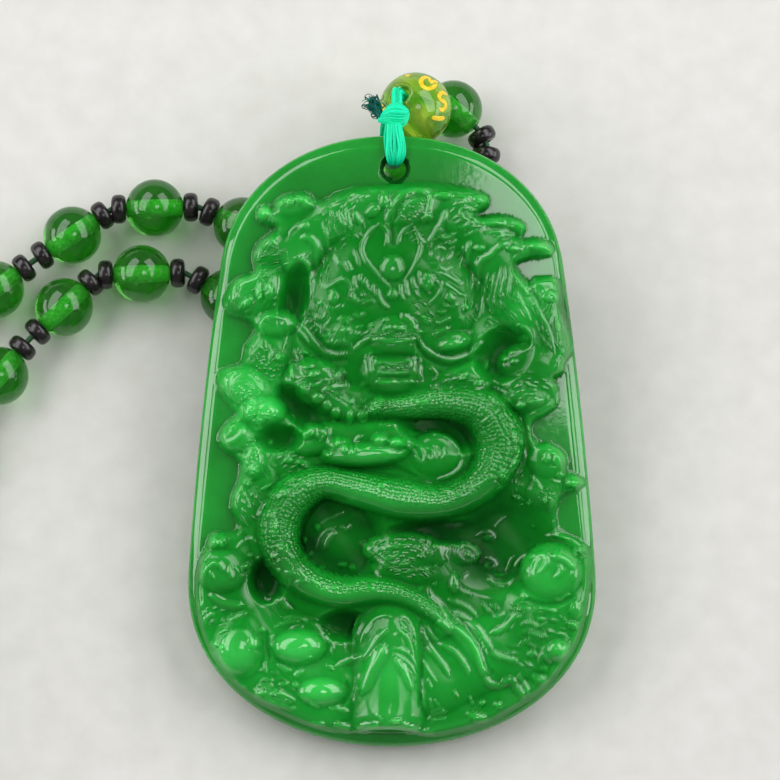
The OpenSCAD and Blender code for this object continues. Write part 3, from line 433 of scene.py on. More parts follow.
# %% Raised lines of the head
HEAD_LINES = [  # half width, height, then its points
    # crest band over the forehead, bars of the antler
    (0.36, 0.9, (-0.5, 53), (-0.3, 54.3), (0.3, 55.4), (1.2, 56.3), (2.6, 56.55), (3.9, 56.2)),
    (0.26, 0.6, (3.9, 56.2), (3.9, 55.2), (3.6, 54), (3.2, 53.4)),
    (0.3, 0.7, (5.5, 54.3), (5, 53), (4.7, 51.9)), (0.26, 0.6, (4.6, 51.7), (5.5, 51.6), (6.5, 52)),
    (0.26, 0.6, (2.5, 51.9), (3, 51.2), (3.6, 51.1), (4.2, 51.8), (5, 53.2)),
    (0.3, 0.55, (4.3, 55.9), (5.2, 56.1), (6.1, 55.8)), (0.2, 0.5, (4.1, 55.8), (3.8, 54.6), (4, 53.2)),
    # rim of the forehead shield
    (0.22, 0.55, (-0.1, 46.4), (-1.7, 48.1), (-2.7, 49.4), (-3, 50.7), (-2.3, 52.1), (-1.2, 53)),
    (0.2, 0.45, (-1.2, 53), (-0.6, 52.3), (-0.4, 51.5), (-0.7, 50.8)),
    (0.2, 0.5, (1.2, 47.2), (2, 48.2), (2.6, 49.6), (2.9, 50.6), (2.6, 51.8), (2.1, 52.8)),
    (0.18, 0.4, (2.1, 52.9), (1.3, 52.4), (0.8, 51.7), (0.6, 50.9)),
    (0.24, 0.5, (-1.5, 46.5), (-1.3, 45.6), (-0.9, 44.9), (-0.3, 44.4)),
    # brows and lids
    (0.2, 0.45, (-7.6, 47), (-6.5, 46.6), (-5.6, 47.1), (-4.8, 47.3), (-4.2, 46.8), (-4, 45.9)),
    (0.26, 0.5, (-4.1, 46), (-3.8, 45.3), (-3.2, 45.05)),
    (0.14, 0.3, (-3.3, 45.1), (-2, 45.2), (-1.8, 44.8)),
    (0.2, 0.45, (5.2, 47), (6.2, 46.4), (6.9, 45.9), (7.5, 45.7)),
    (0.16, 0.4, (4.4, 48.4), (5.8, 47.6), (7, 46.8)),
    (0.16, 0.35, (3.7, 44.8), (4.5, 45.6), (4.9, 46.3), (5, 47.2)),
    (0.14, 0.3, (-6.9, 44.6), (-5.8, 44.4), (-4.8, 44.8)),
    (0.14, 0.3, (4.9, 44.8), (5.9, 44.6), (6.9, 44.9)),
    # cheeks and nose
    (0.28, 0.45, (4.4, 42.9), (5.1, 43.1), (5.9, 43.5)),
    (0.28, 0.45, (4.1, 41.7), (4.9, 42.1), (5.8, 42.5)),
    (0.32, 0.45, (0.8, 43.8), (1.5, 43.5), (2.2, 42.9), (2.3, 42.2)),
    (0.2, 0.35, (-4, 43.9), (-3.3, 43.6), (-2.6, 43.9)), (0.15, 0.3, (-3.9, 42), (-3, 41.8), (-2.3, 42.1)),
    (0.13, 0.3, (6.9, 42.1), (7.6, 41.9), (8.1, 42.1)),
    (0.15, 0.35, (-8.2, 43.9), (-7.4, 43.5), (-6.6, 43.9)),
    (0.15, 0.35, (-7.9, 42.9), (-7, 42.4), (-6.3, 43.2)),
    (0.15, 0.35, (-7.3, 42.2), (-6.9, 41.6), (-6.2, 41.9)),
    (0.15, 0.3, (-6.9, 41.2), (-6.3, 40.9), (-5.7, 41.3)),
    # whiskers
    (0.22, 0.8, (2.7, 41.4), (3.2, 40.5), (4.3, 39.7), (5.8, 39.25), (7.3, 39.6), (8.3, 40.2)),
    (0.32, 0.8, (7.9, 39.9), (8.6, 40.4), (9.3, 41.1)), (0.16, 0.5, (8.7, 41.3), (9.6, 42.1), (10.8, 42.7)),
    (0.22, 0.8, (-9.9, 43.4), (-8.8, 42.3), (-7.8, 41.1), (-6.9, 40.2), (-5.6, 39.75), (-4.2, 39.9)),
    (0.18, 0.6, (-10.3, 43.2), (-9.2, 42), (-8.4, 40.9)), (0.22, 0.6, (-4, 40.1), (-3, 41), (-2, 41.6)),
    (0.16, 0.4, (-6, 40.6), (-5.2, 41.1), (-4.3, 40.8), (-3.9, 40.2)),
    (0.17, 0.5, (-9.6, 43.5), (-9, 44), (-8.8, 44.9)),
    (0.13, 0.3, (-9.3, 43.3), (-8.2, 43.2), (-7.2, 43.5)),
    (0.24, 0.45, (-2.6, 41.35), (-1.2, 41.2), (0.2, 41.15), (1.6, 41.15), (2.6, 41.4)),
    # teeth, tongue and lower lip
    (0.2, 0.7, (-2.65, 39.7), (-2.6, 38.6), (-2.5, 37.3)),
    (0.2, 0.7, (-2.15, 40), (-2.1, 38.9), (-2, 37.8)), (0.18, 0.6, (-1.75, 39.5), (-1.5, 38.9), (-1.1, 39)),
    (0.2, 0.7, (2.25, 39.8), (2.25, 38.8), (2.1, 37.9)),
    (0.2, 0.7, (2.85, 39.4), (2.85, 38.3), (2.75, 37.2)),
    (0.17, 0.6, (1.25, 39.3), (1.8, 39.2), (1.9, 38.3)), (0.16, 0.45, (-1.1, 38.5), (0, 38.7), (1.3, 38.5)),
    (0.16, 0.45, (-1.6, 38), (0.1, 37.9), (1.9, 38)), (0.26, 0.6, (-1.8, 37), (-1, 36.95), (0.4, 37.1)),
    (0.18, 0.5, (0.9, 37.1), (2, 36.95), (2.9, 37), (3, 37.8)),
    # beard strokes
    (0.16, 0.5, (-9.95, 40.4), (-9.5, 39), (-8.9, 37.4)),
    (0.14, 0.45, (-9.5, 40.5), (-9.1, 39.3), (-8.6, 38)),
    (0.2, 0.45, (-8.4, 36.7), (-7.6, 36.7), (-7, 37.1)),
    (0.28, 0.5, (-7, 36.2), (-6, 36.4), (-5.2, 36.6), (-4.3, 36.7)),
    (0.16, 0.4, (-6, 37.7), (-5.2, 37.6), (-4.5, 38)), (0.2, 0.4, (-1.1, 32.8), (0, 32.8), (0.8, 32.6)),
    (0.2, 0.4, (3.8, 36.6), (5, 36.5), (6.1, 36.4)), (0.16, 0.35, (4.6, 36.1), (5.6, 36), (6.4, 36.4)),
    (0.16, 0.35, (3.6, 38.4), (4.2, 38.2), (4.6, 37.6)),
    (0.15, 0.35, (8.3, 36.3), (9.2, 36.6), (9.2, 37.4)),
    (0.13, 0.3, (10.2, 37.3), (10.8, 36.9), (11.4, 36.6)),
    (0.13, 0.3, (10.3, 36.5), (11, 36.1), (11.6, 35.8)),
    # hair over the left temple
    (0.34, 0.6, (-9.3, 51.6), (-8.3, 51.5), (-7.6, 50.8), (-7.5, 49.8), (-7.6, 48.4)),
    (0.2, 0.45, (-7.5, 51), (-7.1, 50), (-6.9, 48.7)),
    (0.3, 0.55, (-9.5, 49.5), (-8.7, 49), (-8.2, 48), (-8.35, 46.8), (-8.3, 45.4)),
    (0.14, 0.4, (-8, 47.8), (-7.9, 46.8), (-8, 45.6)), (0.15, 0.4, (-7, 53.1), (-6.6, 51.9), (-6.4, 50.3)),
    (0.26, 0.45, (-6, 50), (-5.6, 49.4), (-5.2, 48.8)),
    (0.28, 0.5, (-4.8, 49.3), (-4.4, 48.7), (-4.1, 48.1)),
    (0.16, 0.35, (-3.9, 50.4), (-3.5, 49.6), (-3.3, 48.7)),
    (0.17, 0.4, (-10.5, 51.7), (-10, 52.5), (-9.2, 53)),
    (0.24, 0.5, (-5.3, 54.2), (-5, 53.4), (-4.7, 52.5)),
    (0.24, 0.5, (-4.6, 54.4), (-4.4, 53.4), (-4.1, 52.4)),
    (0.32, 0.55, (-3.9, 54.2), (-3.5, 53.6), (-3, 52.9)),
    (0.14, 0.35, (-6.2, 55.4), (-5, 55.6), (-3.9, 56.05), (-2.7, 55.6)),
    (0.15, 0.35, (-7.6, 55.5), (-7, 54.6), (-6.6, 54.9)),
    (0.14, 0.35, (-6.9, 54), (-6.4, 54.3), (-5.9, 53.9)),
    (0.21, 0.5, (-3.2, 47.9), (-3.2, 47.3), (-2.7, 46.8)),
    (0.21, 0.5, (-3.7, 47.7), (-3.8, 47), (-3.6, 46.3)),
    (0.21, 0.5, (-2.7, 47.5), (-2.6, 46.8), (-2.2, 46.1)),
    (0.21, 0.5, (-1.9, 46.9), (-1.9, 46.2), (-1.6, 45.6)), (0.21, 0.5, (0.9, 46.9), (0.9, 46), (1.2, 45.2)),
    (0.21, 0.5, (1.4, 47.3), (1.5, 46.3), (1.7, 45.5)), (0.22, 0.5, (2, 47.6), (2.2, 46.8), (2.6, 46.3)),
    (0.22, 0.5, (2.7, 48.2), (2.9, 47.2), (3.1, 46.4))]
print(len(HEAD_LINES), "raised lines on the head")

# %% Raised lines of the mane, the flames and the clouds
SIDE_LINES = [  # half width, height, then its points
    # long strands of the mane
    (0.16, 0.4, (9.75, 48), (9.5, 46.95), (9.3, 45.8), (9.15, 44.6), (8.8, 43.3)),
    (0.15, 0.4, (10.3, 48.1), (10.2, 46.95), (9.95, 45.8), (9.75, 44.9), (10.3, 43.9)),
    (0.15, 0.4, (11, 48.6), (10.8, 47.4), (10.5, 46.3), (10.4, 45.1), (10.9, 44.4)),
    (0.15, 0.4, (11.4, 48.7), (11.35, 47.6), (11.1, 46.5), (11, 45.6)),
    (0.15, 0.4, (11.7, 48.6), (11.95, 47.6), (11.8, 46.5), (11.7, 45.6)),
    (0.16, 0.4, (12, 48.4), (12.6, 47.4), (13.2, 46.6), (13.7, 45.8)),
    (0.15, 0.4, (12.4, 46.3), (13.05, 45.1), (13.6, 44.05), (14, 43)),
    # flames on the right
    (0.2, 0.5, (4.4, 57.15), (6.5, 56.75), (8.5, 56.45), (9.7, 55.8), (9.9, 55.1), (9.3, 54.5)),
    (0.17, 0.5, (9.4, 53.9), (11, 54), (12.4, 53.75), (13.4, 53.1), (13.4, 52.4), (12.7, 51.8)),
    (0.15, 0.4, (9.3, 53.5), (10.8, 53.6), (12.2, 53.3), (12.8, 52.6)),
    (0.17, 0.4, (9.2, 53.1), (10.4, 53.1), (11.4, 53)),
    (0.2, 0.5, (13, 51.4), (14.4, 51.5), (15.7, 51.2), (16.3, 50.5), (15.7, 49.9), (14.2, 49.7),
     (12.6, 49.3)), (0.17, 0.4, (6.6, 52.6), (7.4, 52.7), (8, 53.2)),
    (0.17, 0.4, (7.2, 51.7), (8, 52), (8.5, 52.4)),
    (0.17, 0.4, (7.3, 54.6), (6.9, 54.2), (7.2, 53.6), (7.8, 53.3)),
    (0.17, 0.4, (6.7, 56), (7.4, 55.6), (7.2, 54.9)), (0.17, 0.4, (9.3, 52), (10.6, 52.2), (12, 52.3)),
    (0.17, 0.4, (10.5, 51.6), (11.4, 51.8), (12.4, 52)),
    (0.32, 0.7, (8.7, 46.4), (8.6, 48), (8.9, 49.2), (9.9, 49.8), (10.7, 50.6), (12, 51.3)),
    (0.28, 0.55, (7.5, 48.7), (7.6, 50), (7.9, 51.2)), (0.18, 0.5, (6.8, 48.6), (7.1, 49.7), (7.2, 50.8)),
    (0.18, 0.5, (8.1, 46.4), (8.3, 47.8), (8.4, 49.2)), (0.15, 0.4, (5.3, 49.3), (5.9, 49.8), (6.2, 50.6)),
    (0.15, 0.4, (4.6, 48.8), (5.3, 48.3), (6.2, 48.7)), (0.15, 0.4, (5.9, 48), (6.6, 47.5), (7.2, 46.9)),
    (0.14, 0.35, (5.6, 51), (6.1, 51), (6.5, 51.4)), (0.14, 0.35, (4.3, 50.3), (4.8, 50.6), (5.4, 50.4)),
    # long hair and curls below the flames
    (0.16, 0.45, (12.3, 46), (13, 45), (13.7, 44)),
    (0.2, 0.55, (14.3, 45.6), (15, 43.8), (15.9, 42), (16.4, 39.8)),
    (0.2, 0.5, (14, 47.4), (15.2, 47.8), (16.4, 47.6), (17.2, 46.6), (17.4, 45.2)),
    (0.2, 0.5, (17.4, 45.2), (17.6, 43.6), (18.4, 42), (18.6, 40.8), (17.6, 39.6), (17, 38)),
    (0.16, 0.4, (16.6, 43.3), (16.8, 41.8), (16.9, 40.4)),
    (0.24, 0.55, (15.1, 45.9), (15.6, 46.2), (16.5, 45.8), (16.6, 45.1)),
    (0.17, 0.5, (12.1, 42.8), (13.2, 42.6), (14, 41.8), (14.1, 40.8), (13.3, 40.1), (12.6, 40.5)),
    (0.22, 0.45, (13.5, 34.95), (14.5, 35), (15.3, 35.2)),
    (0.16, 0.4, (16.3, 37.1), (16.9, 36.2), (16.9, 35), (16, 33.9)),
    (0.14, 0.35, (13.3, 37.1), (13.9, 36.7), (14.6, 36.5)),
    (0.15, 0.4, (8.2, 32.6), (9.2, 33), (10.1, 33.8)),
    # clouds on the left
    (0.17, 0.45, (-9.7, 56), (-8.8, 56.2), (-8.1, 55.8), (-8, 55)),
    (0.15, 0.4, (-13.7, 53.3), (-13.6, 54.4), (-12.9, 55), (-12.2, 54.7)),
    (0.2, 0.55, (-10.8, 43.3), (-12, 43.6), (-12.9, 43.4), (-13.3, 42.5), (-12.9, 41.6)),
    (0.14, 0.4, (-15.7, 40.1), (-14.9, 41.2), (-14.2, 41.9)),
    (0.14, 0.4, (-14.3, 39.6), (-13.6, 40.4), (-13.1, 41.2)),
    (0.2, 0.45, (-12.7, 40.9), (-12.2, 40), (-12.3, 39.1)),
    (0.17, 0.4, (-10.4, 42.1), (-10.7, 41.2), (-11, 40.2)),
    (0.28, 0.6, (-16.9, 30.8), (-16, 31.1), (-15.3, 31.7), (-14.8, 32.6)),
    (0.15, 0.4, (-17.4, 31.6), (-17.1, 32.6), (-16.4, 33.3), (-15.4, 33.1)),
    (0.14, 0.4, (-17.1, 31.5), (-16.7, 32.4), (-16, 32.4)),
    (0.2, 0.4, (-10.1, 33.9), (-9.8, 33.4), (-10.2, 32.7), (-10.8, 32.5)),
    (0.2, 0.4, (-15.7, 20.2), (-15, 20.9), (-14.2, 21.2), (-13.7, 20.7)),
    (0.2, 0.45, (-16.2, 25.3), (-15.7, 25.8), (-15.2, 26.6)),
    (0.18, 0.45, (-13.6, 23.4), (-13.2, 24.3), (-12.5, 25.2)),
    (0.15, 0.35, (-15.3, 29), (-15.6, 27.8), (-15.1, 26.7))]
print(len(SIDE_LINES), "raised lines on the mane, flames and clouds")

# %% Raised lines of the claw, the ring and the sunk ground
MIDDLE_LINES = [  # half width, height, then its points
    # claws and knuckles
    (0.17, 0.5, (-7.6, 32.8), (-7.7, 31.9), (-7.3, 31.2)),
    (0.17, 0.5, (-6.9, 32.4), (-6.8, 31.6), (-7.3, 31)),
    (0.16, 0.45, (-6.8, 32.5), (-6.3, 32.2), (-6.4, 31.3), (-6.6, 30.7)),
    (0.15, 0.4, (-8, 32.5), (-8, 31.8), (-8.3, 31.3)),
    (0.22, 0.55, (-2.9, 31.6), (-3.5, 31.3), (-3.65, 30.7), (-3.5, 30.2)),
    (0.15, 0.4, (-2.1, 30.7), (-2.7, 30.3), (-3.3, 30.1)),
    (0.18, 0.5, (0.7, 31), (1.4, 30.6), (2, 30.2), (2.5, 29.7)),
    # rim of the oval with the claw in it
    (0.24, 0.9, (3.3, 32), (4.4, 31.9), (5.5, 31.5), (6.4, 30.8), (6.95, 29.9), (7.1, 29)),
    (0.24, 0.8, (7.1, 29.2), (6.9, 28.4), (6.3, 27.8), (5.5, 27.4), (4.6, 27.2)),
    (0.17, 0.45, (2.3, 29.9), (2.7, 29.1), (3.2, 29), (3.3, 29.7), (3, 30.4)),
    (0.17, 0.45, (3.5, 29.8), (3.8, 29.2), (4.2, 29.4), (4.1, 30.1), (3.5, 30.4)),
    (0.17, 0.45, (4.4, 29.1), (4.7, 29.6), (4.5, 30.3), (4.2, 30.6)),
    (0.17, 0.45, (5, 29.2), (5.4, 29.8), (5.2, 30.4)),
    (0.16, 0.45, (3.2, 26.9), (3.8, 26.6), (4.3, 25.9), (4.8, 25.5)),
    (0.18, 0.45, (5, 26.2), (5.8, 26.1), (6.4, 25.7), (7, 25.6)),
    (0.15, 0.4, (2, 26.9), (2.4, 26.3), (3, 26.1), (3.1, 26.6)),
    (0.16, 0.35, (7.8, 26.3), (8.8, 26.7), (9.8, 27.3), (10.8, 27.5)),
    (0.2, 0.35, (4.9, 22.7), (6, 22.5), (7.2, 22.6)), (0.24, 0.55, (12, 34.6), (12.9, 34.4), (13.3, 34.9)),
    (0.2, 0.5, (13.2, 30.6), (13.4, 29.4), (12.9, 28.2), (12.3, 27.3)),
    (0.16, 0.4, (12.9, 33.4), (12.9, 32.6), (13.3, 31.9)),
    # hollow ring: the curl inside it
    (0.18, 0.5, (-7.2, 22.5), (-6.6, 23.1), (-5.8, 23.4), (-4.7, 23.9)),
    (0.17, 0.5, (-7.7, 20.1), (-7.3, 21.2), (-6.6, 21.9), (-5.6, 22.3)),
    (0.3, 0.7, (-6.9, 20.1), (-6.6, 20.9), (-6.1, 21.5), (-5.6, 21.8)),
    (0.16, 0.4, (-5.2, 22.4), (-4.6, 22.1), (-4, 22.6)),
    (0.18, 0.5, (-9.5, 18.3), (-9.1, 17.8), (-8.5, 17.2)),
    (0.2, 0.5, (-9.9, 16.5), (-9.3, 16.9), (-8.5, 17.1)),
    (0.22, 0.5, (-8.2, 17.2), (-7.7, 16.9), (-7.2, 16.6)),
    (0.18, 0.5, (-7.2, 16.1), (-6.8, 16.2), (-6.5, 16.4)),
    (0.2, 0.5, (-6.2, 16.4), (-5.8, 16.3), (-5.3, 16.4)),
    (0.15, 0.35, (-5, 16.5), (-4.2, 16.6), (-3.4, 16.7)),
    (0.22, 0.5, (-3.2, 17), (-2.6, 17.2), (-1.9, 17), (-1.3, 17)),
    (0.2, 0.5, (-2, 17.9), (-1.5, 17.6), (-1.2, 17.1)),
    (0.22, 0.45, (-2.7, 16.4), (-2.2, 16.3), (-1.7, 16.1)),
    (0.2, 0.4, (-11, 16.9), (-10.5, 16.4), (-10.3, 17.2)),
    (0.14, 0.35, (-11, 17.8), (-10.3, 17.8), (-9.7, 17.8)),
    (0.16, 0.35, (-12.4, 19.7), (-11.3, 19.6), (-10.2, 19.7), (-9.6, 19.3)),
    # fin behind the body
    (0.15, 0.4, (-1.8, 19.3), (-0.8, 18.6), (0.3, 18.1), (1.1, 17.8)),
    (0.15, 0.35, (1.3, 17.7), (2, 18), (2.7, 18)),
    (0.13, 0.35, (-1.6, 19.9), (-0.6, 19.1), (0.2, 19.3), (0.6, 19.8)),
    (0.13, 0.35, (-1.2, 20.2), (0.2, 20.4), (1.6, 20.6)),
    (0.15, 0.4, (-3.4, 20.8), (-2.7, 20.3), (-2, 19.6)), (0.13, 0.35, (-3, 20.9), (-2.5, 20.4), (-2, 20.1)),
    # curls in the sunk ground
    (0.2, 0.6, (8.5, 21.4), (9.2, 21.8), (9.9, 21.8), (10.3, 21.3), (10.2, 20.8)),
    (0.17, 0.5, (5.7, 18.9), (5.5, 19.6), (5.8, 20.3)), (0.15, 0.45, (5.9, 20.6), (6.5, 20.4), (7.2, 20.4)),
    (0.17, 0.5, (7, 20.2), (6.7, 19.8), (7, 19.2), (7.7, 18.85), (8.4, 19)),
    (0.15, 0.45, (8.4, 19.2), (7.8, 19.5), (7.3, 19.8)),
    (0.2, 0.55, (9.4, 19.2), (10, 19.1), (10.5, 18.6), (10.4, 18)),
    (0.26, 0.6, (9.6, 17.3), (10.2, 16.8), (11, 16.6), (11.7, 16.7), (12.2, 17.1)),
    (0.13, 0.35, (11.6, 17.6), (11.8, 18.5), (12.3, 19.4)),
    (0.13, 0.3, (10.4, 22.2), (10.9, 22.9), (11.5, 23.4)),
    (0.2, 0.5, (6.6, 16.2), (7.3, 15.8), (8.1, 15.4)), (0.14, 0.35, (7.2, 17.2), (7.6, 17.5), (7.8, 17.3)),
    # clouds down the right side
    (0.18, 0.5, (14.3, 33.5), (14.4, 32.2), (14.9, 31.1), (16, 30.6), (17.2, 29.9), (17.7, 29), (17.4, 28)),
    (0.13, 0.35, (14.9, 33.1), (15.2, 32.6), (14.9, 32.2)),
    (0.15, 0.4, (15.6, 29.9), (16.5, 29.7), (17, 29), (16.6, 28.4), (15.9, 28.5)),
    (0.22, 0.5, (14, 27.5), (14.6, 26.9), (15.1, 26)),
    (0.17, 0.5, (17.6, 27.6), (18.6, 27.9), (19.4, 27.3), (19.3, 26.6), (18.4, 26.2)),
    (0.13, 0.35, (16, 27.2), (16.6, 26.9), (17.2, 26.9)),
    (0.15, 0.35, (16.2, 25.1), (16.1, 24.4), (15.8, 23.8)),
    # round cloud with the wave breaking on it
    (0.22, 0.6, (12.4, 18.2), (12.9, 18.9), (13.6, 19.4), (14.4, 19.5)),
    (0.24, 0.6, (14.4, 19.5), (15.2, 19.6), (15.6, 19.1), (15.3, 18.3), (14.7, 17.7)),
    (0.22, 0.5, (16.7, 18.5), (17, 18.3), (16.9, 17.7), (16.3, 17.3)),
    (0.5, 0.45, (16.1, 19.5), (17, 19.5), (17.9, 19), (18.4, 18.2)),
    (0.22, 0.5, (16.4, 15.1), (17.1, 15.1), (17.9, 15.7)),
    (0.2, 0.4, (15.5, 21.4), (16.6, 21.5), (17.7, 21.2)),
    (0.16, 0.35, (16.3, 23.1), (16.5, 22.2), (16.9, 21.6)),
    (0.2, 0.4, (13.2, 16.2), (13.2, 15.5), (13.9, 15.2))]
print(len(MIDDLE_LINES), "raised lines in the middle")

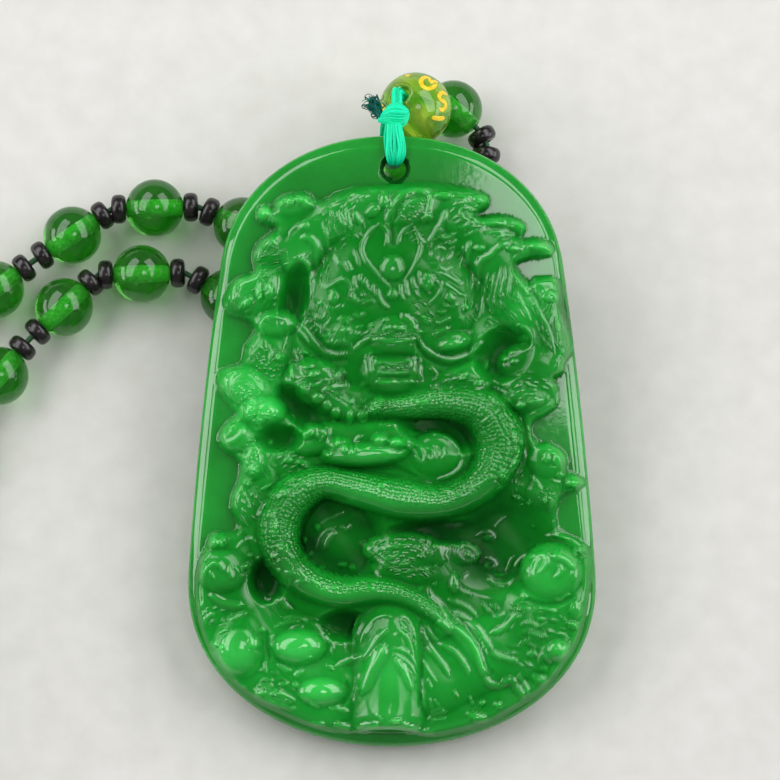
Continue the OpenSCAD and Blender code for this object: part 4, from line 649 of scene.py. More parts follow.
# %% Raised lines of the foot: foam, rock, tail and waves
FOOT_LINES = [  # half width, height, then its points
    # foam, balls and stones at the lower left
    (0.34, 0.5, (-19.2, 17.1), (-18.9, 18), (-18.2, 18.7), (-17.4, 18.6), (-16.9, 17.9)),
    (0.16, 0.35, (-18.4, 18), (-18.1, 17.4), (-17.8, 17)),
    (0.26, 0.45, (-16.3, 18.5), (-16.3, 17.8), (-16.1, 17.1)),
    (0.2, 0.4, (-15.9, 18.5), (-15.6, 18.1), (-15.3, 17.7)),
    (0.2, 0.45, (-15, 18.3), (-14.5, 18.4), (-14.2, 17.5)),
    (0.42, 0.55, (-18.5, 15.6), (-17.6, 15), (-16.8, 14.6), (-15.8, 14.45), (-15, 14.6)),
    (0.16, 0.4, (-19.6, 18.6), (-19.1, 19.2), (-18.4, 19.8), (-18.2, 20.6), (-17.9, 21.5)),
    (0.16, 0.35, (-19.8, 17.9), (-19.4, 18.9), (-18.6, 19.4)),
    (0.26, 0.45, (-18.9, 12.4), (-18.9, 13), (-18.4, 13.4), (-17.9, 13.6)),
    (0.14, 0.35, (-19.4, 12.8), (-19.1, 13.5), (-18.5, 13.9)),
    (0.22, 0.45, (-16.6, 13.2), (-16.1, 13.1), (-15.4, 13.5), (-14.6, 13.8)),
    (0.2, 0.4, (-17.5, 11.6), (-17.1, 11.9), (-16.6, 12)),
    (0.14, 0.35, (-12.9, 15.3), (-12.4, 15.1), (-12, 15.4)),
    (0.3, 0.6, (-12.9, 14.5), (-12.1, 14.6), (-11.6, 15.2), (-11, 14.9), (-10.6, 14.3), (-10, 14.1)),
    (0.2, 0.5, (-11.9, 12.3), (-11, 12.6), (-10.2, 12.8), (-9.2, 12.8)),
    (0.18, 0.45, (-11.2, 13), (-10.2, 13.2), (-9.2, 13.1), (-8.4, 12.7)),
    (0.2, 0.45, (-7.8, 12.5), (-7, 11.8), (-6.3, 11.1), (-6, 10.3), (-6.1, 9.3)),
    (0.16, 0.4, (-7.4, 11.8), (-6.7, 11.2), (-6.3, 10.5)),
    (0.14, 0.3, (-10.4, 12), (-9.6, 12.3), (-8.9, 12.3)),
    (0.15, 0.35, (-12.1, 9.9), (-12.2, 10.8), (-11.9, 11.6)),
    (0.24, 0.5, (-11.6, 8.5), (-11, 8.1), (-10.2, 7.8)), (0.28, 0.5, (-9.9, 7.2), (-9.4, 7.6), (-8.9, 7.9)),
    (0.24, 0.45, (-13.6, 6.35), (-12.8, 6.4), (-12, 6.4)),
    (0.24, 0.45, (-11.5, 6.4), (-10.9, 6.5), (-10.4, 6.6)),
    (0.18, 0.35, (-13, 7), (-12.4, 6.9), (-12, 6.9)),
    (0.16, 0.35, (-12.8, 8.8), (-12.85, 8.2), (-12.7, 7.5)),
    (0.18, 0.4, (-6.7, 8.4), (-6.2, 8.2), (-5.9, 7.9)), (0.22, 0.5, (-13.9, 5), (-13.5, 5.5), (-12.7, 5.7)),
    (0.17, 0.4, (-12.2, 5.7), (-11, 5.5), (-10, 5), (-9.8, 4.6)),
    (0.2, 0.4, (-12.9, 4.9), (-11.8, 4.5), (-10.6, 4.1), (-9.6, 3.9)),
    (0.28, 0.5, (-6.4, 4.1), (-5.3, 4), (-4.3, 3.6)), (0.28, 0.55, (-5.9, 2.5), (-5, 2.3), (-4.2, 1.9)),
    (0.28, 0.55, (-4, 1.6), (-3.1, 1.6), (-2.1, 2.1), (-1.2, 2.7)),
    (0.18, 0.4, (-3.7, 2.1), (-2.4, 2.5), (-1.2, 2.7)), (0.16, 0.4, (-1.5, 3.8), (-1.3, 3.2), (-0.9, 2.9)),
    (0.16, 0.3, (-16, 6.9), (-15.7, 6.6), (-15.5, 6.6)),
    # rock: outline and chevrons
    (0.24, 0.5, (-3.3, 10.4), (-2.9, 11.6), (-2, 13), (-0.9, 13.5), (0, 13.4)),
    (0.24, 0.5, (0.6, 13.5), (1.5, 13.3), (2.1, 12.4), (2.5, 11)),
    (0.36, 0.55, (-0.5, 12.2), (-1.5, 11.2), (-2.4, 9.9), (-3.2, 8.9)),
    (0.3, 0.5, (-2.6, 9.6), (-3.8, 9.1), (-5, 8.6), (-5.7, 8.3)),
    (0.72, 0.5, (-0.7, 10.4), (-1.7, 8.9), (-2.5, 7.3), (-3.1, 5.6)),
    (0.22, 0.5, (-3.2, 8.2), (-3.5, 6.9), (-3.7, 5.6), (-3.8, 4.4)),
    (0.26, 0.5, (0.5, 12.2), (1.3, 11.6), (1.8, 10.8), (2.3, 9.2)),
    (0.22, 0.45, (0.2, 10.2), (1.1, 10), (1.9, 9.4), (2.6, 8.2)),
    (0.22, 0.45, (0.2, 9.6), (1, 9.2), (1.8, 8.5), (2.5, 7.4)),
    (0.42, 0.5, (0.3, 9.2), (1.2, 8), (1.7, 7), (2.1, 5.9)),
    (0.15, 0.35, (0.8, 13), (1.3, 12.4), (1.8, 12.2)),
    (0.16, 0.4, (-1.9, 12.8), (-2.3, 12.1), (-2.9, 11.3)),
    # crest line along the foot
    (0.2, 0.45, (-0.4, 2.7), (0.4, 2.9), (1.3, 2.5), (2.2, 2.1)),
    (0.34, 0.6, (1.6, 2.3), (2.6, 1.7), (3.4, 1.5), (4.2, 1.5)),
    (0.2, 0.45, (3.6, 2.8), (4.4, 3.4), (5.6, 3.8)), (0.15, 0.4, (3.7, 2.6), (4.6, 2.9), (5.6, 3)),
    (0.15, 0.4, (3.8, 3.3), (4.3, 3.8), (5.2, 4.1)),
    # tail hair in long wet strands
    (0.26, 0.7, (3.6, 16.2), (4, 15.4), (4.8, 14.7), (5.3, 14), (5.8, 13.1)),
    (0.26, 0.7, (5.6, 15), (6.6, 14.7), (7.6, 14.2), (8.6, 13.3)),
    (0.36, 0.8, (5.9, 13.9), (7.2, 13.2), (8.4, 12.3), (9.3, 11.1), (10.1, 9.9)),
    (0.34, 0.8, (10, 9.9), (10.6, 9.4), (11.6, 9.1), (12.7, 8.8)),
    (0.24, 0.6, (6.2, 13.1), (7.4, 12.3), (8.5, 11.2), (9.2, 10.2), (9.6, 9.3)),
    (0.4, 0.8, (6.4, 12.3), (7.4, 11.6), (8.3, 10.6), (8.8, 9.4), (9, 8.2), (9.4, 7.1)),
    (0.34, 0.7, (9.3, 7.3), (9.8, 6.6), (10.6, 6.3), (11.4, 6.3)),
    (0.45, 0.6, (10.9, 6.4), (11.8, 6.8), (12.4, 6.5), (12.9, 5.8), (13.4, 5.2)),
    (0.3, 0.6, (12.7, 7.3), (13.3, 6.5), (13.8, 5.5)),
    (0.3, 0.7, (3, 12.3), (3.3, 11.2), (3.9, 10.1), (4.6, 9.2), (5.3, 8.3), (5.8, 7.3)),
    (0.22, 0.55, (3.4, 12.4), (4, 11.4), (4.7, 10.7)),
    (0.28, 0.7, (4.6, 10.7), (5.8, 10.1), (6.8, 9.3), (7.5, 8.2), (7.8, 7.3)),
    (0.18, 0.5, (3.1, 9), (3.5, 8.2), (4.2, 7.1), (4.6, 6.5)), (0.2, 0.5, (3.1, 7.2), (3.1, 5.8), (3.3, 4)),
    (0.18, 0.45, (3.6, 7.1), (3.8, 6.5), (4, 6)), (0.14, 0.4, (3.7, 5.2), (3.9, 4.6), (4, 4)),
    (0.14, 0.4, (4.2, 5), (4.5, 4.6), (4.8, 4.2)), (0.14, 0.35, (6.2, 5.8), (6.5, 5.4), (6.8, 5)),
    (0.15, 0.4, (9, 14.6), (9.6, 14.1), (10.2, 13.6)), (0.18, 0.4, (9.8, 14.5), (10.4, 14.3), (10.9, 13.9)),
    (0.16, 0.4, (10.2, 13.5), (10.8, 13.3), (11.2, 13.6), (11.6, 13.4)),
    # waves at the lower right
    (0.34, 0.6, (9.9, 11.7), (10.7, 11.9), (11.5, 12.4), (12.2, 13.2), (13.1, 13.4)),
    (0.24, 0.5, (13.5, 13), (14.2, 12.6), (14.9, 12.4), (15.7, 12.8)),
    (0.24, 0.5, (13.8, 11.7), (14.7, 11.5), (15.6, 11.5)),
    (0.24, 0.5, (14.9, 14.2), (15.7, 14.1), (16.6, 13.8)),
    (0.18, 0.4, (12.4, 14.1), (13.3, 14.2), (14, 14.1)),
    (0.22, 0.45, (17.5, 12.7), (18.3, 12.6), (18.7, 12), (18.4, 11.1), (18.1, 10.3)),
    (0.2, 0.45, (14.7, 8.6), (15, 9.3), (15.6, 9.2), (16, 8.5)),
    (0.16, 0.4, (16.6, 11.6), (17.3, 11.5), (17.9, 10.8)), (0.15, 0.35, (12, 12), (12.3, 12.5), (12.4, 13)),
    (0.15, 0.35, (12.8, 10.6), (13.5, 10.8), (14.1, 11.2)),
    (0.13, 0.3, (16, 7.6), (16.4, 7.9), (16.8, 8.1))]
LINES = HEAD_LINES + SIDE_LINES + MIDDLE_LINES + FOOT_LINES
print(len(LINES), "raised lines in all")

# %% [markdown]
# Cuts are the same strokes turned upside down: under the jaw, between the teeth, along the body and
# beside the tail's strands.

# %% Cuts
CUTS = [  # half width, depth, then its points
    (0.3, 0.5, (0, 53), (0.1, 51.6), (0.1, 50.6)),
    (0.3, 0.45, (0.2, 53.2), (0.9, 54.9), (2.2, 55.8), (3.6, 55.6)),
    (0.35, 0.6, (-2.4, 39.6), (0, 39.5), (2.6, 39.6)), (0.3, 0.5, (-1.4, 37.5), (0.2, 37.4), (1.9, 37.5)),
    (0.3, 0.25, (2.4, 41.3), (2.9, 40), (4.3, 39), (6, 38.6), (8.2, 39.3)),
    (0.3, 0.25, (-9.6, 41.8), (-8.2, 40.2), (-6.6, 39.2), (-4.4, 39.2)),
    (0.3, 0.4, (-2.6, 36), (0, 35.6), (2.4, 35.9)),
    (0.35, 0.6, (7, 27), (8.1, 28.6), (8.2, 30.4), (7.2, 32.2), (5.4, 33.1)),
    (0.3, 0.5, (-7.6, 28.6), (-4, 28.2), (0, 28.4), (2.6, 27.4)),
    (0.3, 0.5, (-4.2, 24.9), (-5.8, 25.4), (-7.6, 24.7), (-8.8, 23), (-9.2, 21), (-8.8, 18.9)),
    (0.3, 0.4, (-3.3, 13.2), (-4.4, 11), (-4.2, 9.4)),
    (0.3, 0.4, (2.9, 13), (2.9, 11), (2.9, 8.6), (2.9, 6), (2.8, 4.2)),
    (0.25, 0.4, (-12.6, 11.9), (-12.6, 10.2), (-12.3, 8.8)),
    (0.25, 0.4, (-4.6, 6.8), (-4.4, 5.4), (-5.2, 4.2)),
    (0.3, 0.4, (12.9, 15.6), (14.6, 14.7), (16.4, 14.6), (18.4, 15.4)),
    (0.3, 0.45, (13, 49), (13.2, 48), (14, 46.6), (15, 44.4)),
    (0.25, 0.4, (5, 13.6), (6.4, 12.9), (7.8, 11.8), (8.8, 10.3), (9.4, 8.6), (10.4, 7.3)),
    (0.22, 0.35, (4.4, 14.3), (5.4, 13), (6, 12.2)), (0.3, 0.4, (9.6, 52.6), (11.4, 52.4), (13, 51.8)),
    (0.3, 0.4, (9.6, 54.6), (8.6, 54.1), (8.2, 53.6))]
print(len(CUTS), "cuts")

# %% [markdown]
# Hair, beard and striped clouds are combs: one stroke repeated between two guide curves. Arcs wind
# round the clouds' middles, patches of short strokes flow one way, and pebbles fill the foam. They
# are finer than the mesh's cells and would break into dashes there. So each row lays coordinates
# along and across its strokes on the mesh, and the stone's material draws the strokes from them.

# %% Combs and arcs
COMBS = [  # strokes, first guide, last guide
    (4, [(-1.8, 45.6), (-2, 45), (-2.4, 44.4)], [(-4, 47.2), (-4.6, 46.4), (-5, 45.6)]),
    (5, [(1.6, 45.4), (1.9, 44.8), (2.3, 44.2)], [(4.2, 48.2), (4.8, 47.2), (5.3, 46.3)]),
    (7, [(-9.7, 41), (-8.9, 40.6), (-8, 39.8)], [(-8.4, 36.2), (-7.3, 36), (-6.3, 35.5)]),
    (6, [(10.4, 45.6), (11.3, 44.2), (12.2, 42.9), (12.7, 41.8)], [(13.2, 46.4), (14.1, 44.9),
     (14.8, 43.4), (15.3, 41.4)]),
    (5, [(12.6, 48.2), (13.3, 47.2), (14.2, 45.9)], [(10.8, 48.6), (11.3, 47.4), (12.2, 46.2)]),
    (7, [(-14, 49.5), (-12.6, 50), (-10.6, 50.5)], [(-13.2, 47.3), (-11.8, 47.8), (-10.2, 48.4)]),
    (4, [(-16.7, 44.1), (-16.7, 45.6), (-16.1, 47.1), (-15.4, 48)], [(-15.5, 45), (-15.5, 45.9),
     (-15.1, 46.7), (-14.6, 47.3)]),
    (5, [(-13.9, 50.2), (-13.5, 51.4), (-12.6, 52)], [(-12.7, 50), (-12.2, 50.7), (-11.8, 51.3)]),
    (4, [(-12.6, 51.4), (-11.7, 50.8), (-11.2, 50.2)], [(-11.9, 50.2), (-11, 49.6), (-10.4, 49.6)]),
    (8, [(9.6, 47.6), (9.4, 46.4), (9.9, 45.2), (9.6, 43.8)], [(11.7, 48.4), (12.2, 47.3), (13, 46.2),
     (13.6, 45.4)]),
    (5, [(10.2, 47.4), (10.8, 46.4), (11.2, 45.2)], [(12, 47.3), (12.6, 46.4), (13.4, 45.6)]),
    (3, [(9, 45.2), (8.7, 44), (8.9, 42.9), (9.5, 42.6)], [(10.2, 45.4), (10, 44.6), (10.4, 44.1),
     (10.9, 44.4)]),
    (4, [(12.9, 45.4), (13.7, 43.9), (14.5, 42.4), (14.9, 40.4)], [(14.9, 44.2), (15.5, 42.6),
     (16.1, 41.2), (16.2, 39.6)]),
    (4, [(16.5, 43.4), (16.6, 41.8), (16.9, 40.2)], [(17.9, 42.6), (18.1, 41.6), (18, 40.4)]),
    (5, [(-16.1, 25.2), (-15.7, 23.7), (-14.9, 22.6), (-14.2, 22.2)], [(-14.6, 24.9), (-14.5, 24.2),
     (-14.2, 23.6), (-13.9, 23.2)]),
    (5, [(-14.8, 40.4), (-13.8, 39.2), (-13, 38.4)], [(-12.6, 41.4), (-12, 40.2), (-11.6, 39.2)]),
    (5, [(-13.4, 28.6), (-13, 27.6), (-12.4, 27)], [(-12.4, 29.2), (-11.9, 28.4), (-11.4, 27.8)]),
    (6, [(-15, 30.6), (-14.2, 30.9), (-13.4, 30.9)], [(-15, 28.2), (-14.2, 28.5), (-13.5, 28.6)]),
    (4, [(-7.2, 53.9), (-6.6, 52.9), (-6.3, 51.6)], [(-5.6, 52.6), (-5.2, 51.4), (-5, 50.2)]),
    (4, [(6, 54.9), (6.3, 53.9), (6.9, 53)], [(7.9, 55.7), (8.2, 54.6), (8.9, 53.9)]),
    (6, [(-13, 22.8), (-12.4, 21.8), (-12, 20.6)], [(-11, 24), (-10.4, 23), (-10.1, 22)]),
    (4, [(12.2, 33.4), (12.5, 32.6), (12.3, 31.8)], [(11.4, 29.9), (12, 29.2), (12.1, 28.4)]),
    (4, [(12.4, 14.9), (13.6, 15), (14.6, 14.8)], [(11.6, 13.9), (12.8, 13.7), (14.2, 13.4)]),
    (3, [(-12.4, 14), (-11.8, 13.6), (-11.2, 13.1)], [(-12, 14.3), (-11.5, 13.9), (-10.8, 13.6)]),
    (5, [(4.8, 33.9), (6.2, 34), (7.4, 33.8)], [(3.4, 36.2), (5, 36.4), (6.6, 36.3)])]
ARCS = [  # x, y, first radius, last radius, arcs, from, to
    (-14.9, 36.5, 0.7, 2.3, 6, 95, 265), (-13.2, 50.7, 0.4, 1.2, 3, 60, 230),
    (-12.9, 54.2, 0.5, 0.9, 2, 60, 260), (-15.9, 31.6, 0.6, 1.5, 3, 80, 200),
    (-12, 42.4, 0.8, 1.1, 2, 60, 180), (13.9, 47.6, 0.6, 2.6, 3, 190, 300),
    (15.1, 32.7, 0.6, 1.3, 2, 110, 290), (16.2, 17.9, 1.9, 2.6, 2, 130, 190),
    (-17.3, 17.4, 2.2, 2.8, 2, 110, 190), (-9.3, 10.2, 2.7, 3.2, 2, 20, 70)]
print(len(COMBS), "combs,", len(ARCS), "sets of arcs")

# %% Patches of short strokes and of pebbles
# A patch's row ends in the way of its strokes, their length and their spacing.
FLOWS = [  # x, y, half length, half width, turn, then way, length, spacing
    (-7.4, 42.8, 1.9, 1.5, -20, 40, 1.1, 0.6), (-7.4, 48.6, 1.2, 2.2, 10, 75, 1.6, 0.6),
    (5.2, 50.2, 1.9, 1.5, 0, 55, 1.3, 0.6), (7.8, 44.2, 1.1, 1.8, 0, 100, 1.3, 0.55),
    (3.2, 44.2, 1.6, 0.9, -30, 130, 1.1, 0.6), (-5.7, 51, 1.4, 1, 30, 62, 1.2, 0.6),
    (-5.4, 36.4, 1.2, 1.4, 20, 110, 1.1, 0.65), (6.6, 36.7, 3, 1.2, -8, 30, 1, 0.6),
    (0.2, 34.6, 4, 0.7, 0, 95, 0.7, 0.55), (7.4, 53.8, 2.2, 1.6, -20, 20, 1.3, 0.6),
    (-5.6, 54.6, 2.8, 1.2, 14, 64, 1.2, 0.6), (-13.4, 44.6, 2.2, 2, 20, 70, 1.1, 0.55),
    (16.4, 42, 1.6, 3.2, 10, 100, 1.7, 0.55), (13.6, 36.6, 2.4, 1.6, 0, 10, 1.2, 0.6),
    (-14.4, 25, 1.4, 2.2, 10, 110, 1, 0.55), (14.8, 12.6, 3, 1.8, 0, 6, 1.9, 0.95),
    (13.4, 9.6, 2.6, 1.5, -30, -28, 2, 0.95), (-12, 6.6, 3, 1.4, -30, 0, 1.4, 0.85),
    (-17.6, 13.4, 1.6, 1.2, 0, 20, 1.1, 0.7), (2.4, 51.8, 1.2, 0.8, 0, 40, 0.8, 0.45),
    (-3.6, 52.6, 1.4, 1.3, 0, 100, 1.4, 0.55), (12.4, 27.6, 0.9, 2, 0, 70, 1, 0.5),
    (-10.4, 29, 2.4, 1.2, -20, 30, 0.9, 0.5), (0.9, 20.1, 3.6, 1.5, 4, 6, 0.85, 0.48),
    (1.8, 17.9, 2.6, 0.8, -6, -8, 0.8, 0.42)]
PEBBLES = [  # x, y, half length, half width, turn, pebble size
    (2.1, 54.4, 1.7, 1.3, 10, 0.5), (0, 41.4, 2.7, 0.6, 0, 0.42), (0.2, 38.4, 1.6, 0.6, 0, 0.45),
    (-12.6, 38.8, 1.9, 1.9, 0, 0.5), (-14.6, 35.4, 2.4, 1.5, -40, 0.5), (-13.2, 33.6, 1.6, 1, 10, 0.5),
    (-14.1, 29.2, 1.1, 2.4, 0, 0.55), (3.6, 14.2, 1, 0.7, -50, 0.42), (13.2, 25, 1.2, 0.6, -20, 0.5),
    (1, 34.3, 2.4, 0.7, 0, 0.45), (-10.8, 55.6, 1.4, 0.7, 0, 0.45), (-10.9, 21.6, 0.9, 2.4, 0, 0.5),
    (19, 19.4, 0.7, 0.8, 0, 0.45), (-12.6, 53, 0.9, 0.7, 0, 0.45), (15.6, 25.6, 1, 0.8, 0, 0.45)]
print(len(FLOWS), "patches of strokes,", len(PEBBLES), "of pebbles")

# %% The height of strokes
WIDEN, THINNEST, FACET, BELLY, CREST = 1.35, 0.17, 0.38, 0.18, 0.16
TAPER_POWER, TAPER_LEAST = 5, 0.1


def stroke_layer(x, y, rows, steps=5):
    """The highest of many strokes at each point, each with two flat facets and a soft crest between them."""
    layer = np.zeros(x.shape)
    for half, height, *points in rows:
        path, half = smooth_path(points, steps), WIDEN * max(half, THINNEST)
        near = ((x > path[:, 0].min() - half) & (x < path[:, 0].max() + half)
                & (y > path[:, 1].min() - half) & (y < path[:, 1].max() + half))
        if not near.any():
            continue
        d, along, _ = near_path(x[near], y[near], path)
        width = half * np.sqrt(np.maximum(TAPER_LEAST, 1 - np.abs(2 * along - 1) ** TAPER_POWER))
        t = np.minimum(d / width, 1)
        ridge = FACET * (math.hypot(1, CREST) - np.sqrt(t ** 2 + CREST ** 2)) + BELLY * (1 - t ** 2)
        layer[near] = np.maximum(layer[near], ridge * (0.8 + 0.2 * height / (1.8 * half)) * width)
    return layer


print("a stroke of half width 0.2 mm is made", round(2 * WIDEN * 0.2, 2), "mm wide")

# %% The coordinates of fine strokes
LOCK = 1.6  # length in mm of one lock of hair in a comb
FLOW_BEND, PATCH_EDGE = 0.12, 3


def fine_tooling(x, y):
    """Coordinates along and across the fine strokes, in strokes, and 0 to 1 where they are cut."""
    u, v, mask = np.zeros(x.shape), np.zeros(x.shape), np.zeros(x.shape)

    def lay(new_u, new_v, new_mask):
        new_mask = np.clip(new_mask, 0, 1)
        over = new_mask > mask
        for kept, new in ((u, new_u), (v, new_v), (mask, new_mask)):
            kept[over] = new[over]

    for px, py, long, short, turn_deg, way_deg, length, spacing in FLOWS:
        c, s = math.cos(math.radians(way_deg)), math.sin(math.radians(way_deg))
        ahead, aside = (x - px) * c + (y - py) * s, (y - py) * c - (x - px) * s
        lay(ahead / length, (aside + FLOW_BEND * ahead ** 2) / spacing,
            PATCH_EDGE * oval(x, y, px, py, long, short, turn_deg))
    for px, py, long, short, turn_deg, size in PEBBLES:
        lay(x / size, y / size, PATCH_EDGE * oval(x, y, px, py, long, short, turn_deg))
    for px, py, r_first, r_last, count, start, end in ARCS:
        r = np.hypot(x - px, y - py)
        angle = (np.degrees(np.arctan2(y - py, x - px)) - start) % 360
        place = (r - r_first) / (r_last - r_first) * (count - 1)
        across = np.minimum(place + 0.5, count - 0.5 - place) * 4
        ends = np.minimum(angle, end - start - angle) / 8
        lay(np.radians(angle) * r / LOCK, place, np.minimum(across, ends))
    for count, first, last in COMBS:
        d_first, along_first, side_first = near_path(x, y, smooth_path(first, 3))
        d_last, along_last, side_last = near_path(x, y, smooth_path(last, 3))
        place = d_first / (d_first + d_last)
        along = (1 - place) * along_first + place * along_last
        length = sum(math.dist(p, q) for p, q in zip(first, first[1:]))
        between = np.where(side_first * side_last < 0, np.minimum(along, 1 - along) * 10, 0)
        lay(along * length / LOCK, place * (count - 1), between)
    return u, v, mask


print("fine strokes lie in", len(FLOWS) + len(PEBBLES) + len(ARCS) + len(COMBS), "patches")

# %% [markdown]
# The layers are now added up. The scales need the body's own coordinates, along it and across it, so
# that their rows bend with it. The carving dies away over the rounded edge, which was polished last.

# %% The finished height
SCALED = [  # along the body from and to in mm, across it from and to: -1 and 1 are its edges
    (-1, 19.5, -1.2, 1.2), (17, 38.5, -1.2, 0.3), (36, 47, -1.2, 1.2), (45, 68, 0.05, 0.85)]
DOME_WIDEN, DOME_RISE, DOME_POWER = 1.2, 0.65, 0.7
HAND_WAVE, SCALE_FADE, SCALE_ROWS, LINE_CLEAR = 0.03, 0.5, 2.2, 0.06


def carving(x, y):
    """Height over the margin, the body's own coordinates, where scales lie, and where fine strokes may."""
    z, s, across, on_body, shoulder = rough_forms(x, y)
    for px, py, long, short, turn_deg, height in DOMES:
        q = oval(x, y, px, py, DOME_WIDEN * long, DOME_WIDEN * short, turn_deg)
        z = z + DOME_RISE * height * np.maximum(0, q) ** DOME_POWER * shoulder
    lines = stroke_layer(x, y, LINES)
    z = z + (lines - stroke_layer(x, y, CUTS)) * shoulder
    hand = HAND_WAVE * (np.sin(0.9 * x + 0.6 * y) + np.sin(0.8 * y - 0.7 * x) + np.sin(1.4 * x + 1.1 * y))
    scaled = np.zeros(x.shape)
    for s_from, s_to, low, high in SCALED:
        within = SCALE_ROWS * np.minimum(across - low, high - across)
        fit = np.minimum(np.minimum(s - s_from, s_to - s), within)
        scaled = np.maximum(scaled, np.clip(fit / SCALE_FADE, 0, 1) * on_body)
    clear = np.clip(1 - lines / LINE_CLEAR, 0, 1) * shoulder
    round_body = SCALE_ROWS * np.arcsin(np.clip(across, -1, 1))
    return z + hand * shoulder, s, round_body, scaled * clear, clear * (1 - scaled)


print("scales lie on", len(SCALED), "stretches of the body")

# %% [markdown]
# ## The mesh
#
# A square grid is pressed into the outline, ring by ring, so that its cells stay much alike from the
# middle to the edge and its outer rings follow the rounded rim. The cells measure 0.14 to 0.2 mm,
# which is fine enough for every raised line and cut. The back is flat, as it was sawn, with a
# smaller rounding.

# %% The plaque's outline
FOOT_Y, SHOULDER_Y, CROWN_POWER = 18.0, 49.0, 2.15
SIDE_TAPER, SIDE_SWELL, SWELL_Y, SWELL_REACH = 0.107, 0.35, 34, 17
CARVED_MID = np.array([0, 0.48 * PLAQUE_H])
OUTLINE_STEPS = 20001


def half_width(y):
    """Half the plaque's width at each height: tapered sides, a fuller crown and a round foot."""
    swell = SIDE_SWELL * np.maximum(0, 1 - ((y - SWELL_Y) / SWELL_REACH) ** 2)
    side = PLAQUE_W / 2 - SIDE_TAPER * (y - FOOT_Y) + swell
    over = np.maximum(0, (y - SHOULDER_Y) / (PLAQUE_H - SHOULDER_Y))
    crown = np.maximum(0, 1 - over ** CROWN_POWER) ** (1 / CROWN_POWER)
    foot = np.sqrt(np.maximum(0, 1 - (np.maximum(0, FOOT_Y - y) / FOOT_Y) ** 2))
    return side * crown * foot


def outline_points(count):
    """Points at equal steps round the outline, from the middle of the foot, counter-clockwise."""
    turn = np.linspace(0, 2 * math.pi, OUTLINE_STEPS)
    y = PLAQUE_H / 2 * (1 - np.cos(turn))
    x = np.where(turn < math.pi, 1, -1) * half_width(y)
    gone = gone_so_far(np.stack([x, y], -1))
    steps = np.arange(count) / count * gone[-1]
    return np.stack([np.interp(steps, gone, x), np.interp(steps, gone, y)], -1)


print("widest", round(2 * float(half_width(np.linspace(0, PLAQUE_H, 200)).max()), 1), "mm")

# %% Press the grid into the outline
EDGE = [  # inset from the outline, drop below the margin: a polished slope with eased corners
    (0, 2.3), (0, 1.7), (0.04, 1.12), (0.16, 0.88), (0.45, 0.63), (0.75, 0.38), (1, 0.17), (1.12, 0.08),
    (1.25, 0.02), (1.4, 0), (1.9, 0)]
HALF_CELLS, EDGE_RINGS = 151, 14
rim_count = 8 * HALF_CELLS
rim = outline_points(rim_count)
rim_way = rim - CARVED_MID
rim_far = np.linalg.norm(rim_way, axis=1, keepdims=True)


def spoke(at, inset):
    """Points of the outline moved towards the middle by inset."""
    return CARVED_MID + rim_way[at] * (1 - np.asarray(inset)[..., None] / rim_far[at])


steps_out = np.arange(-HALF_CELLS, HALF_CELLS + 1)
i, j = np.meshgrid(steps_out, steps_out, indexing="ij")
ring = np.maximum(abs(i), abs(j))
# Steps round the square ring, from the middle of its lower side, counter-clockwise.
sides = [(j == -ring) & (i >= 0), i == ring, j == ring, i == -ring]
round_ring = np.select(sides, [i, 2 * ring + j, 4 * ring - i, 6 * ring - j], 8 * ring + i)
at = np.rint(round_ring / np.maximum(ring, 1) * HALF_CELLS).astype(int) % rim_count
edge_path = smooth_path(EDGE, 6)
edge_run = gone_so_far(edge_path)
edge_at = np.clip((HALF_CELLS - ring) / EDGE_RINGS, 0, 1) * edge_run[-1]
inset = np.interp(edge_at, edge_run, edge_path[:, 0])
drop = np.interp(edge_at, edge_run, edge_path[:, 1])
share = np.minimum(1, ring / (HALF_CELLS - EDGE_RINGS))
flat = CARVED_MID + (spoke(at, inset) - CARVED_MID) * share[..., None]
grid_x, grid_y = flat[..., 0], flat[..., 1]
print("grid of", ring.size, "points,", EDGE_RINGS, "rings of them on the rounded edge")

# %% Carve it
EDGE_FADE, FADE_POWER, NEAR_STEP = 1.6, 1.5, 0.05
fade = np.clip(inset / EDGE_FADE, 0, 1) ** FADE_POWER
height, body_s, body_across, scaled, clear = carving(grid_x, grid_y)
tooled = np.stack(fine_tooling(grid_x, grid_y), -1)
tooled[..., 2] *= clear * fade
front = np.concatenate([flat, (MARGIN_T - drop + fade * height)[..., None]], -1).reshape(-1, 3)
print(len(front), "points, relief from", height.min().round(2), "to", height.max().round(2), "mm")

# %% [markdown]
# A mesh this fine still shades in small flats, so the way that the carved face looks is worked out
# from the heights beside each point and kept. It dies away towards the polished edge, where the
# mesh's own smooth shading serves.

# %% The way the carved face looks
facing = np.ones((*ring.shape, 3))
for axis, (dx, dy) in enumerate(((NEAR_STEP, 0), (0, NEAR_STEP))):
    before, after = carving(grid_x - dx, grid_y - dy)[0], carving(grid_x + dx, grid_y + dy)[0]
    facing[..., axis] = (before - after) / (2 * NEAR_STEP)
facing *= (fade ** 2 / np.linalg.norm(facing, axis=-1))[..., None]
print("steepest slope", np.hypot(facing[..., 0], facing[..., 1]).max().round(2), "of 1")

# %% [markdown]
# Jade lets light through, so thin raised parts look paler and the ground of deep cuts darker. Here
# that light and shade is painted into the stone's tone: painted glow where it stands high, painted
# shade in the deep. The carver's polish also reaches only the raised parts: the hollows keep a
# duller ground. Both are worked out by comparing each height with the mean of its neighbourhood, and
# kept on the mesh.

# %% Painted glow and shade, and duller stone
def blurred(values, reach):
    """Mean over a square window of the grid, used to see what lies deep and what stands high."""
    padded = np.pad(values, reach, mode="edge")
    total = np.pad(np.cumsum(np.cumsum(padded, 0), 1), ((1, 0), (1, 0)))
    size = 2 * reach + 1
    whole = total[size:, size:] - total[:-size, size:] - total[size:, :-size] + total[:-size, :-size]
    return whole / size ** 2


